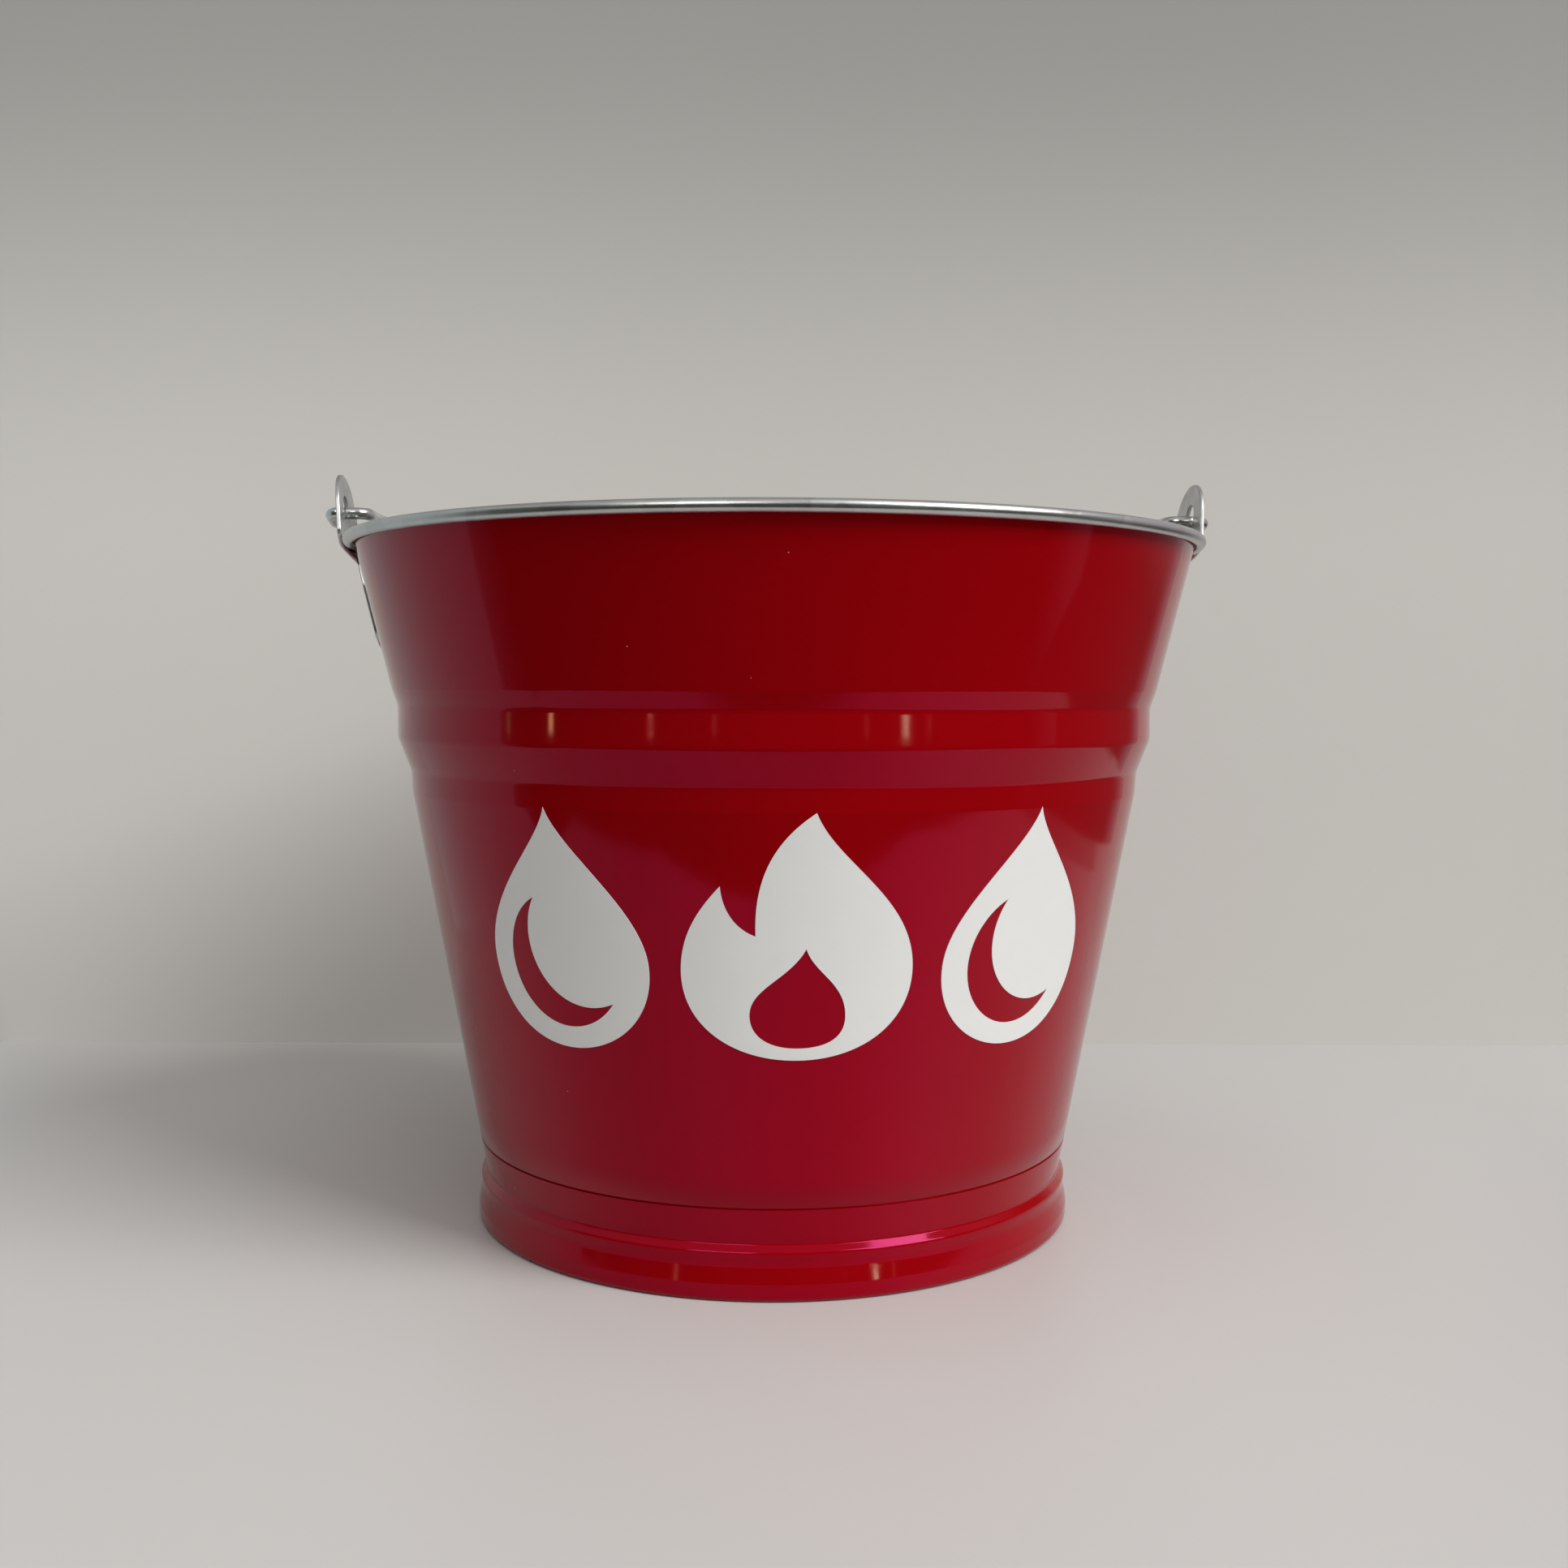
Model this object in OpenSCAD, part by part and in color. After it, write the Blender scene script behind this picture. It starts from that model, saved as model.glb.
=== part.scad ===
/* [Bucket body] */
// Height from the floor to the top of the rim
bucket_h = 230; // [190:1:280]
// Diameter over the rolled rim
mouth_d = 290; // [240:1:350]
// Thickness of the sheet of the body, bottom and foot
sheet_t = 0.5; // [0.4:0.1:0.8]
// Lean of the upper cone from upright, in degrees
upper_lean = 13.6; // [9:0.1:18]
// Lean of the lower cone from upright, in degrees
lower_lean = 10.4; // [6:0.1:14]

/* [Stiffening band] */
// Drop from the top of the rim to the foot of the upper cone
band_drop = 50.5; // [46:0.5:62]
// Height of the shoulder above the band
shoulder_h = 5.5; // [4:0.5:8]
// Inward step of the shoulder
shoulder_in = 1.9; // [1:0.1:3]
// Height of the nearly upright band
band_h = 10.4; // [8:0.1:14]
// Inward slant of the band over its height
band_in = 0; // [0:0.1:1.5]
// Height of the ramp below the band
ramp_h = 11; // [9.5:0.1:14]
// Inward slant of the ramp over its height
ramp_in = 4.2; // [2.8:0.1:5]
// Height of the nearly upright heel between the ramp and the lower cone
heel_h = 6.8; // [5:0.1:9]
// Inward slant of the heel over its height
heel_in = 0.4; // [0.1:0.1:1.2]
// Radius of the bends above and below the band
band_bend_r = 5; // [3:0.5:6]

/* [Rolled rim] */
// Diameter of the wire rolled into the rim
rim_wire_d = 2.8; // [2:0.1:4]
// Turn of the sheet round the rim wire, in degrees
rim_roll = 290; // [250:5:300]
// Gap between a rolled sheet and its wire
wire_gap = 0.03; // [0.01:0.01:0.05]

/* [Side seam] */
// Width of the folded seam at the back
seam_w = 6; // [4:0.5:10]
// Height of the folded seam over the body
seam_t = 0.8; // [0.4:0.1:1.5]

/* [Foot ring] */
// Height of the top edge of the foot ring
foot_h = 27.6; // [24:0.2:34]
// Gap between nested sheets
nest_gap = 0.05; // [0.02:0.01:0.06]
// Height of the top of the locking ledge
ledge_high_z = 16.6; // [16:0.1:16.8]
// Height of the lower corner of the locking ledge
ledge_low_z = 14.4; // [13.8:0.1:14.6]
// How far the corner of the ledge stands out from the neck below it
ledge_out = 0.35; // [0.1:0.05:0.8]
// How far the neck stands out from the line of the lower cone
neck_out = 2.2; // [1.8:0.1:3]
// Height up to which the foot stands upright
foot_wall_h = 5.2; // [4.8:0.1:6]
// Step out from the neck to the foot wall
foot_flare = 1.1; // [0.8:0.1:2]
// Diameter of the wire rolled into the foot
foot_wire_d = 2.8; // [2:0.1:3.2]
// Depth of the flat worn under the rolled foot
foot_flat = 0.1; // [0.05:0.01:0.15]

/* [Bottom] */
// Height of the inside floor of the bucket
floor_z = 21; // [20:0.5:24]
// Radius of the bend between floor and flange
floor_bend_r = 2; // [1:0.5:2]
// Diameter of the raised middle of the floor
floor_step_d = 150; // [80:1:155]
// Height of the raised middle of the floor
floor_step_h = 1.5; // [0.5:0.1:2.5]
// Height of the lower edge of the body and of the flange
flange_z = 10.4; // [9.5:0.1:11]

/* [Ears] */
// Thickness of the ear plate
ear_t = 1.4; // [1.2:0.1:2]
// Height of the pivot of the bail over the rim
pivot_rise = 9; // [8.8:0.1:14]
// Radius of the rounded top of an ear
ear_head_r = 14; // [12.5:0.1:15.5]
// How far the middle of the rounded top lies below the hole
ear_head_drop = 2.8; // [0:0.1:3.5]
// Half width of an ear at the rim
ear_rim_half_w = 17; // [16:0.5:19]
// Half width of the neck of an ear below the rim
ear_neck_half_w = 7; // [6:0.5:9]
// Half width of the base of an ear
ear_base_half_w = 9.5; // [8.5:0.5:14]
// Drop from the rim to the lower edge of an ear
ear_drop = 36.5; // [33:0.5:42]
// Lean of the upright tab of an ear, in degrees
tab_lean = 4; // [0:0.5:6]
// Lean of the ear where it passes under the rim, in degrees
joggle_lean = 42; // [36:1:50]
// Free space between the rim and the tab of an ear
tab_gap = 0.6; // [0.5:0.1:3]
// Radius of the hole for the bail
ear_hole_r = 4; // [3:0.1:4.5]

/* [Rivets] */
// Diameter of a rivet
rivet_d = 4; // [3:0.1:5]
// Diameter of the outer head of a rivet
rivet_head_d = 7; // [6:0.1:8]
// Height of the outer head of a rivet
rivet_head_h = 1.2; // [1:0.1:2.4]
// Diameter of the inner head of a rivet
rivet_tail_d = 6.6; // [6:0.1:8]
// Height of the inner head of a rivet
rivet_tail_h = 1.4; // [1:0.1:2]
// Height between the two rivets of an ear, one above the other
rivet_pitch = 9.5; // [9:0.1:10.5]
// Drop from the rim to the middle between the rivets
rivet_drop = 27; // [26.5:0.1:27.5]

/* [Bail] */
// Diameter of the wire of the bail
bail_wire_d = 4; // [3:0.1:5]
// Gap between the leg of the bail and the tab of an ear
leg_gap = 5; // [3:0.1:8]
// Radius of the bend between leg and pivot, at the middle of the wire
leg_bend_r = 4; // [3.5:0.5:8]
// Radius of the hook bend outside an ear, at the middle of the wire
hook_bend_r = 3; // [3:0.1:4]
// Length of the straight end of the hook
hook_l = 7; // [4:0.5:10]
// Angle of the hook below the leg, in degrees
hook_droop = 12; // [0:1:60]
// Radius of the bends beside the grip, at the middle of the wire
crown_bend_r = 15; // [8:1:25]
// How far the crown lies inside the middle of the rim
crown_inset = 3; // [0:0.5:8]

/* [Grip] */
// Length of the grip
grip_l = 104; // [80:1:130]
// Largest diameter of the grip
grip_d = 17; // [14:0.5:21]
// Diameter of the ends of the grip
grip_end_d = 13.6; // [11:0.2:14]
// Radius of the rounded ends of the grip
grip_edge_r = 1.6; // [0.5:0.1:2.5]
// Radial gap between the grip and the wire
grip_bore_gap = 0.3; // [0.2:0.05:0.5]
// Play at each end of the grip
grip_play = 2; // [1:0.5:4]

/* [Painted marks] */
// Height of a mark
mark_h = 72; // [40:1:80]
// Height of the middle of the marks over the floor
mark_z = 110; // [95:1:118]
// Angle between neighbouring marks round the bucket, in degrees
mark_step = 36; // [35:1:50]
// Thickness of a mark
mark_t = 0.2; // [0.1:0.05:0.3]

/* [Hidden] */
$fn = 72;

red_paint = "#b00a14";
white_film = "#e8e8e4";
zinc = "#aeb3b5";
zinc_wire = "#bcc1c3";
wood = "#c9a06a";

// Seat clearances
ear_gap = 0.05;
bead_clearance = 0.1;
rivet_gap = 0.05;
bail_seat = 0.3;
grip_seat = 0.3;
hook_gap = 1.2;
mark_gap = 0.03;
joint_trim = 0.05;
joint_swell = 0.03;
past = 1;
same = 0.001;

// Radii of the small bends
foot_bend_r = 4;
under_bead_r = 2.5;
tab_bend_r = 3.5;
ear_base_r = 7;
ear_waist_r = 6;
ear_wing_r = 3;
ledge_bend_r = 1.6;
neck_bend_r = 3;

// Height of the upright neck, and the collar with which the body steps out over the foot ring
neck_top_z = 11.8;
collar_gap = 0.15;
collar_h = 0.7;

// Steps of the computed curves
bend_steps = 6;
roll_steps = 36;
grip_steps = 28;
curve_steps = 10;

// Rolled rim: centre of the wire, and the two faces of the sheet round it
roll_in_r = rim_wire_d / 2 + wire_gap;
bead_r = roll_in_r + sheet_t;
bead_c = [mouth_d / 2 - bead_r, bucket_h - bead_r];

// Outer face of the body as heights and radii, from the rim down
cone_top = bead_c + roll_in_r * [-cos(upper_lean), sin(upper_lean)];
shoulder_z = bucket_h - band_drop;
shoulder_r = cone_top[0] - (cone_top[1] - shoulder_z) * tan(upper_lean);
band_top_z = shoulder_z - shoulder_h;
band_low_z = band_top_z - band_h;
heel_z = band_low_z - ramp_h;
lower_top_z = heel_z - heel_h;
band_top_r = shoulder_r - shoulder_in;
band_low_r = band_top_r - band_in;
heel_r = band_low_r - ramp_in;
lower_top_r = heel_r - heel_in;
lower_slope = tan(lower_lean);

// Neck, and how far the body lies inside the line of the cone behind the foot ring
tuck = sheet_t + nest_gap;
neck_r = lower_r(flange_z) + neck_out;

// Ear and bail
pivot_z = bucket_h + pivot_rise;
ear_hole_z = pivot_z + ear_hole_r - bail_wire_d / 2 - bail_seat;
ear_head_z = ear_hole_z - ear_head_drop;
ear_top_z = ear_head_z + ear_head_r;
tab_in_r = mouth_d / 2 + tab_gap;
tab_top_out = tab_in_r + (ear_top_z - bucket_h) * tan(tab_lean) + ear_t / cos(tab_lean);
pivot_in_r = tab_in_r + pivot_rise * tan(tab_lean);
bail_wire_r = bail_wire_d / 2;
leg_x = pivot_in_r - leg_gap - bail_wire_r;
hook_x = tab_top_out + hook_gap + bail_wire_r - hook_bend_r;
crown_half = grip_l / 2 + grip_play;
crown_y = bead_c[0] - crown_inset;
hoop_turn = acos(crown_half / (leg_x - crown_bend_r));
hoop_y = crown_y - crown_bend_r - (leg_x - crown_bend_r) * sin(hoop_turn);
grip_z = bucket_h + grip_d / 2 + grip_seat;
bail_tilt = asin((pivot_z - grip_z) / crown_y);

// Foot: centre of the rolled wire
foot_roll_r = foot_wire_d / 2 + wire_gap + sheet_t;
foot_wall_r = neck_r + tuck + foot_flare;
foot_c = [foot_wall_r - foot_roll_r, foot_roll_r - foot_flat];
foot_roll_start = 80;

// Radius of the lower cone at a height
function lower_r(z) = lower_top_r - (lower_top_z - z) * lower_slope;
// Radius of the body behind the foot ring at a height
function tucked_r(z) = lower_r(z) - tuck / cos(lower_lean);
// Radius of the upper cone at a height
function upper_r(z) = shoulder_r + (z - shoulder_z) * tan(upper_lean);

// Unit vector, and the direction on the left of a step from a to b
function unit(v) = v / norm(v);
function left_of(a, b) = let(d = unit(b - a)) [-d[1], d[0]];
// Point where the line through p along u meets the line through q along v
function meet(p, u, q, v) =
    let(k = ((q[0] - p[0]) * v[1] - (q[1] - p[1]) * v[0]) / (u[0] * v[1] - u[1] * v[0]))
    p + k * u;
// Points on an arc round c of radius r, from angle a0 to angle a1
function arc(c, r, a0, a1, steps) =
    [for (i = [0 : steps]) let(a = a0 + (a1 - a0) * i / steps) c + r * [cos(a), sin(a)]];
// Arc of radius r that rounds the corner at b between a and c
function corner(a, b, c, r) =
    let(u = unit(a - b),
        v = unit(c - b),
        half = acos(u * v) / 2,
        mid = b + unit(u + v) * r / sin(half),
        p = b + u * r / tan(half) - mid,
        q = b + v * r / tan(half) - mid,
        a0 = atan2(p[1], p[0]),
        turn = atan2(p[0] * q[1] - p[1] * q[0], p * q))
    arc(mid, r, a0, a0 + turn, bend_steps);
// A path whose points are [x, y, corner radius], with its corners rounded
function rounded(path) =
    [for (i = [0 : len(path) - 1])
        let(p = path[i], flat = [p[0], p[1]], last = len(path) - 1)
        each (i == 0 || i == last || p[2] == 0)
            ? [flat]
            : corner([path[i - 1][0], path[i - 1][1]], flat,
                     [path[i + 1][0], path[i + 1][1]], p[2])];
// A path moved to its left by t, with mitred corners
function beside(path, t) =
    [for (i = [0 : len(path) - 1])
        let(before = left_of(path[max(i - 1, 0)], path[max(i, 1)]),
            after = left_of(path[min(i, len(path) - 2)], path[min(i + 1, len(path) - 1)]))
        path[i] + (before + after) * t / (1 + before * after)];
function backwards(path) = [for (i = [len(path) - 1 : -1 : 0]) path[i]];
// Closed outline of a sheet that lies on the left of a path, t thick
function sheet(path, t) = concat(path, backwards(beside(path, t)));

// The stretch of the body's outer face that the foot ring and the flange follow, from low to high
hug_path = rounded([
    [neck_r, flange_z, 0],
    [neck_r, neck_top_z, neck_bend_r],
    [neck_r + ledge_out, ledge_low_z, ledge_bend_r],
    [tucked_r(ledge_high_z), ledge_high_z, ledge_bend_r],
    [tucked_r(foot_h), foot_h, 0]]);
collar_low_z = foot_h + collar_gap;
collar_top_z = collar_low_z + collar_h;

body_path = concat(
    hug_path,
    rounded([
        [tucked_r(collar_low_z), collar_low_z, 0],
        [lower_r(collar_top_z), collar_top_z, 0],
        [lower_top_r, lower_top_z, band_bend_r],
        [heel_r, heel_z, band_bend_r],
        [band_low_r, band_low_z, band_bend_r],
        [band_top_r, band_top_z, band_bend_r],
        [shoulder_r, shoulder_z, band_bend_r],
        [cone_top[0], cone_top[1], 0]]),
    [for (i = [1 : roll_steps])
        let(a = 180 - upper_lean - rim_roll * i / roll_steps)
        bead_c + roll_in_r * [cos(a), sin(a)]]);

module revolve(outline) {
    rotate_extrude($fn = 180) polygon(outline);
}

// A copy of the children at each rivet of one ear, with +Z out of the wall
module at_rivets(side) {
    for (k = [-1, 1]) {
        z = bucket_h - rivet_drop + k * rivet_pitch / 2;
        rotate([0, 0, side > 0 ? 0 : 180])
            translate([upper_r(z), 0, z])
                rotate([0, 90 + upper_lean, 0])
                    children();
    }
}

// Folded seam that joins the two ends of the body sheet at the back
module side_seam() {
    low = [lower_r(foot_h + past), foot_h + past];
    high = [upper_r(bead_c[1] - 2 * bead_r), bead_c[1] - 2 * bead_r];
    route = rounded([
        [low[0], low[1], 0],
        [lower_top_r, lower_top_z, band_bend_r],
        [heel_r, heel_z, band_bend_r],
        [band_low_r, band_low_z, band_bend_r],
        [band_top_r, band_top_z, band_bend_r],
        [shoulder_r, shoulder_z, band_bend_r],
        [high[0], high[1], 0]]);
    intersection() {
        revolve(concat(beside(route, -seam_t), backwards(beside(route, sheet_t / 2))));
        translate([-seam_w / 2, 0, 0]) cube([seam_w, mouth_d, bucket_h]);
    }
}

module body_shell() {
    color(red_paint)
        difference() {
            union() {
                revolve(sheet(body_path, sheet_t));
                side_seam();
            }
            for (side = [-1, 1])
                at_rivets(side)
                    translate([0, 0, -3 * past])
                        cylinder(d = rivet_d + 2 * rivet_gap, h = 6 * past);
        }
}

module ring_wire(centre, d) {
    rotate_extrude($fn = 180)
        translate(centre)
            circle(d = d, $fn = 36);
}

module rim_wire() {
    color(zinc_wire) ring_wire(bead_c, rim_wire_d);
}

module bottom_plate() {
    bend_room = floor_bend_r / tan((90 - lower_lean) / 2);
    flange = [for (p = beside(hug_path, tuck)) if (p[1] < floor_z - bend_room) p];
    inset = tuck / cos(lower_lean);
    turned = rounded([
        [tucked_r(flange_z) - inset, flange_z, 0],
        [tucked_r(floor_z) - inset, floor_z, floor_bend_r],
        [floor_step_d / 2 + floor_step_h, floor_z, floor_step_h / 2],
        [floor_step_d / 2, floor_z + floor_step_h, floor_step_h / 2],
        [0, floor_z + floor_step_h, 0]]);
    path = concat(flange, [for (i = [1 : len(turned) - 1]) turned[i]]);
    color(zinc) revolve(sheet(path, sheet_t));
}

// Outer face of the foot ring, from the end of its roll up to its top edge
module foot_ring() {
    foot_step = 0.2;
    hug = beside(hug_path, -tuck);
    path = concat(
        arc(foot_c, foot_roll_r, foot_roll_start, 360, roll_steps),
        rounded([
            [foot_wall_r, foot_c[1] + foot_step, 0],
            [foot_wall_r, foot_wall_h, foot_bend_r],
            [hug[0][0], hug[0][1], foot_bend_r],
            [hug[1][0], hug[1][1], 0]]),
        [for (i = [2 : len(hug) - 1]) hug[i]]);
    color(red_paint)
        intersection() {
            revolve(sheet(path, sheet_t));
            translate([0, 0, bucket_h / 2])
                cube([mouth_d, mouth_d, bucket_h], center = true);
        }
}

module foot_wire() {
    color(zinc_wire) ring_wire(foot_c, foot_wire_d);
}

// Section of an ear, from its lower edge on the cone to the top of its tab
ear_low_z = bucket_h - ear_drop;
cone_dir = [sin(upper_lean), cos(upper_lean)];
tab_dir = [sin(tab_lean), cos(tab_lean)];
joggle_dir = [sin(joggle_lean), cos(joggle_lean)];
ear_foot = [upper_r(ear_low_z) + ear_gap / cos(upper_lean), ear_low_z];
joggle_at = bead_c + (bead_r + bead_clearance) * [cos(joggle_lean), -sin(joggle_lean)];
joggle_low = meet(ear_foot, cone_dir, joggle_at, joggle_dir);
joggle_high = meet([tab_in_r, bucket_h], tab_dir, joggle_at, joggle_dir);
ear_tip = meet([tab_in_r, bucket_h], tab_dir, [0, ear_top_z + past], [1, 0]);

// Outline of an ear seen along X, as half widths and heights
module ear_outline() {
    neck_z = joggle_low[1] + past;
    waist_z = neck_z - 8;
    wing_z = bucket_h + past;
    wing_drop = ear_head_z - wing_z;
    head_start = acos(ear_head_r / norm([ear_rim_half_w, wing_drop])) - atan2(wing_drop, ear_rim_half_w);
    head = arc([0, ear_head_z], ear_head_r, head_start, 90, 2 * curve_steps);
    flank = rounded([
        [0, ear_low_z, 0],
        [ear_base_half_w, ear_low_z, ear_base_r],
        [ear_base_half_w, waist_z, ear_waist_r],
        [ear_neck_half_w, neck_z, ear_wing_r],
        [ear_rim_half_w, wing_z, ear_wing_r],
        [head[0][0], head[0][1], 0]]);
    side = [for (p = concat(flank, head)) if (p[0] > same) p];
    distinct = [for (i = [0 : len(side) - 1]) if (i == 0 || norm(side[i] - side[i - 1]) > same) side[i]];
    polygon(concat(distinct, [[0, ear_top_z]], backwards([for (p = distinct) [-p[0], p[1]]])));
}

module ear(side) {
    section = rounded([
        [ear_foot[0], ear_foot[1], 0],
        [joggle_low[0], joggle_low[1], under_bead_r],
        [joggle_high[0], joggle_high[1], tab_bend_r],
        [ear_tip[0], ear_tip[1], 0]]);
    spread = 20;
    reach = 20;
    turn = side > 0 ? 0 : 180;
    color(zinc)
        difference() {
            intersection() {
                rotate([0, 0, turn - spread / 2])
                    rotate_extrude(angle = spread, $fn = 180)
                        polygon(sheet(section, -ear_t));
                rotate([0, 0, turn])
                    rotate([90, 0, 90])
                        linear_extrude(mouth_d)
                            ear_outline();
            }
            rotate([0, 0, turn])
                translate([mouth_d / 2 - past, 0, ear_hole_z])
                    rotate([0, 90, 0])
                        cylinder(r = ear_hole_r, h = reach);
            at_rivets(side)
                translate([0, 0, -3 * past])
                    cylinder(d = rivet_d + 2 * rivet_gap, h = reach);
        }
}

module ear_left() {
    ear(-1);
}

module ear_right() {
    ear(1);
}

// Low dome of a rivet head standing on z = 0
module dome(d, h) {
    ball_r = (d * d / 4 + h * h) / (2 * h);
    intersection() {
        translate([0, 0, h - ball_r]) sphere(r = ball_r);
        cylinder(d = d + past, h = h + past);
    }
}

// One rivet with its outer head on the ear and its inner head on the sheet
module rivet() {
    head_z = ear_gap + ear_t + rivet_gap;
    tail_z = -sheet_t - 3 * rivet_gap;
    translate([0, 0, tail_z]) cylinder(d = rivet_d, h = head_z - tail_z);
    translate([0, 0, head_z]) dome(rivet_head_d, rivet_head_h);
    translate([0, 0, tail_z]) rotate([180, 0, 0]) dome(rivet_tail_d, rivet_tail_h);
}

module rivets_left() {
    color(zinc) at_rivets(-1) rivet();
}

module rivets_right() {
    color(zinc) at_rivets(1) rivet();
}

// A stretch of wire along +X from the origin, trimmed at both ends and joined there by a ball
module straight_wire(l) {
    translate([joint_trim, 0, 0])
        rotate([0, 90, 0])
            cylinder(r = bail_wire_r, h = l - 2 * joint_trim, $fn = 36);
}

// A bend of the wire round [0, r] that starts at the origin, trimmed in the same way
module bent_wire(r, angle) {
    trim = joint_trim / r * 180 / PI;
    translate([0, r, 0])
        rotate([0, 0, trim - 90])
            rotate_extrude(angle = angle - 2 * trim, $fn = 120)
                translate([r, 0])
                    circle(r = bail_wire_r, $fn = 36);
}

// A ball whose poles lie along the wire
module joint_ball() {
    rotate([0, 90, 0]) sphere(r = bail_wire_r + joint_swell, $fn = 36);
}

// Half of the bail on +X, flat in the XY plane with its pivot on the X axis
module half_bail() {
    pivot_x = leg_x + leg_bend_r;
    translate([pivot_x, 0, 0]) {
        joint_ball();
        straight_wire(hook_x - pivot_x);
        mirror([1, 0, 0]) bent_wire(leg_bend_r, 90);
    }
    translate([hook_x, 0, 0])
        rotate([-hook_droop, 0, 0]) {
            joint_ball();
            bent_wire(hook_bend_r, 90);
            translate([hook_bend_r, hook_bend_r, 0])
                rotate([0, 0, 90]) {
                    joint_ball();
                    straight_wire(hook_l);
                    translate([hook_l, 0, 0]) joint_ball();
                }
        }
    translate([leg_x, leg_bend_r, 0])
        rotate([0, 0, 90]) {
            joint_ball();
            straight_wire(hoop_y - leg_bend_r);
        }
    translate([leg_x, hoop_y, 0])
        rotate([0, 0, 90]) {
            joint_ball();
            bent_wire(leg_x, hoop_turn);
        }
    translate([leg_x * cos(hoop_turn), hoop_y + leg_x * sin(hoop_turn), 0])
        rotate([0, 0, 90 + hoop_turn]) {
            joint_ball();
            bent_wire(crown_bend_r, 90 - hoop_turn);
        }
    translate([crown_half, crown_y, 0]) joint_ball();
}

module bail() {
    color(zinc_wire)
        translate([0, 0, pivot_z])
            rotate([-bail_tilt, 0, 0]) {
                translate([-crown_half, crown_y, 0]) straight_wire(2 * crown_half);
                for (k = [0, 1])
                    mirror([k, 0, 0])
                        half_bail();
            }
}

// Turned grip, a barrel whose radius follows a flat arc from end to end
module grip() {
    swell = (grip_d - grip_end_d) / 2;
    half = grip_l / 2;
    barrel = [for (i = [0 : grip_steps])
        let(x = -half + grip_edge_r + (grip_l - 2 * grip_edge_r) * i / grip_steps,
            f = x / (half - grip_edge_r))
        [grip_end_d / 2 + swell * (1 - f * f), x]];
    ends = concat(
        arc([grip_end_d / 2 - grip_edge_r, grip_edge_r - half], grip_edge_r, -90, 0, curve_steps),
        [for (i = [1 : grip_steps - 1]) barrel[i]],
        arc([grip_end_d / 2 - grip_edge_r, half - grip_edge_r], grip_edge_r, 0, 90, curve_steps));
    color(wood)
        translate([0, 0, pivot_z])
            rotate([-bail_tilt, 0, 0])
                translate([0, crown_y, 0])
                    rotate([0, 90, 0])
                        difference() {
                            rotate_extrude()
                                polygon(concat([[0, -half]], ends, [[0, half]]));
                            translate([0, 0, -half - past])
                                cylinder(r = bail_wire_r + grip_bore_gap, h = grip_l + 2 * past, $fn = 36);
                        }
}

// Point at t on a cubic curve through a and d with handles b and c
function cubic(a, b, c, d, t) =
    a * pow(1 - t, 3) + 3 * b * t * pow(1 - t, 2) + 3 * c * t * t * (1 - t) + d * pow(t, 3);
function curve(a, b, c, d) = [for (i = [0 : curve_steps - 1]) cubic(a, b, c, d, i / curve_steps)];

// A falling drop, 1 high, with a crescent of light left out
module drop_shape() {
    half = concat(
        curve([0, 1], [0.05, 0.84], [0.4, 0.62], [0.4, 0.37]),
        curve([0.4, 0.37], [0.4, 0.15], [0.22, 0], [0, 0]));
    difference() {
        polygon(concat(half, [[0, 0]], [for (p = backwards(half)) if (p[0] > 0) [-p[0], p[1]]]));
        difference() {
            translate([0, 0.37]) circle(r = 0.28);
            translate([0.11, 0.46]) circle(r = 0.28);
        }
    }
}

// A flame, 1 high, with a bare tongue in its middle
module flame_shape() {
    outside = concat(
        curve([0.06, 1], [0.14, 0.8], [0.46, 0.66], [0.46, 0.37]),
        curve([0.46, 0.37], [0.46, 0.14], [0.26, 0], [0, 0]),
        curve([0, 0], [-0.26, 0], [-0.46, 0.14], [-0.46, 0.37]),
        curve([-0.46, 0.37], [-0.46, 0.51], [-0.4, 0.61], [-0.31, 0.71]),
        curve([-0.31, 0.71], [-0.3, 0.61], [-0.25, 0.54], [-0.17, 0.51]),
        curve([-0.17, 0.51], [-0.18, 0.72], [-0.12, 0.88], [0.06, 1]));
    tongue = concat(
        curve([0.03, 0.46], [0.06, 0.36], [0.19, 0.32], [0.19, 0.18]),
        curve([0.19, 0.18], [0.19, 0.08], [0.1, 0.05], [0, 0.05]),
        curve([0, 0.05], [-0.1, 0.05], [-0.19, 0.09], [-0.19, 0.19]),
        curve([-0.19, 0.19], [-0.19, 0.3], [-0.03, 0.34], [0.03, 0.46]));
    difference() {
        polygon(outside);
        polygon(tongue);
    }
}

// A thin film on the lower cone in the outline of the children
module film(turn) {
    low = mark_z - mark_h / 2 - past;
    high = mark_z + mark_h / 2 + past;
    path = [[lower_r(low), low], [lower_r(high), high]];
    spread = 50;
    color(white_film)
        rotate([0, 0, turn])
            intersection() {
                rotate([0, 0, -90 - spread / 2])
                    rotate_extrude(angle = spread, $fn = 180)
                        polygon(concat(beside(path, -mark_gap), backwards(beside(path, -mark_gap - mark_t))));
                rotate([90, 0, 0])
                    linear_extrude(mouth_d)
                        translate([0, mark_z - mark_h / 2])
                            scale(mark_h)
                                children();
            }
}

module mark_left() {
    film(-mark_step) drop_shape();
}

module mark_centre() {
    film(0) flame_shape();
}

module mark_right() {
    film(mark_step) drop_shape();
}

body_shell();
rim_wire();
bottom_plate();
foot_ring();
foot_wire();
ear_left();
ear_right();
rivets_left();
rivets_right();
bail();
grip();
mark_left();
mark_centre();
mark_right();
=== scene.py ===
"""Looks of a painted sheet-steel fire bucket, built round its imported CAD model."""

import math

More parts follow.
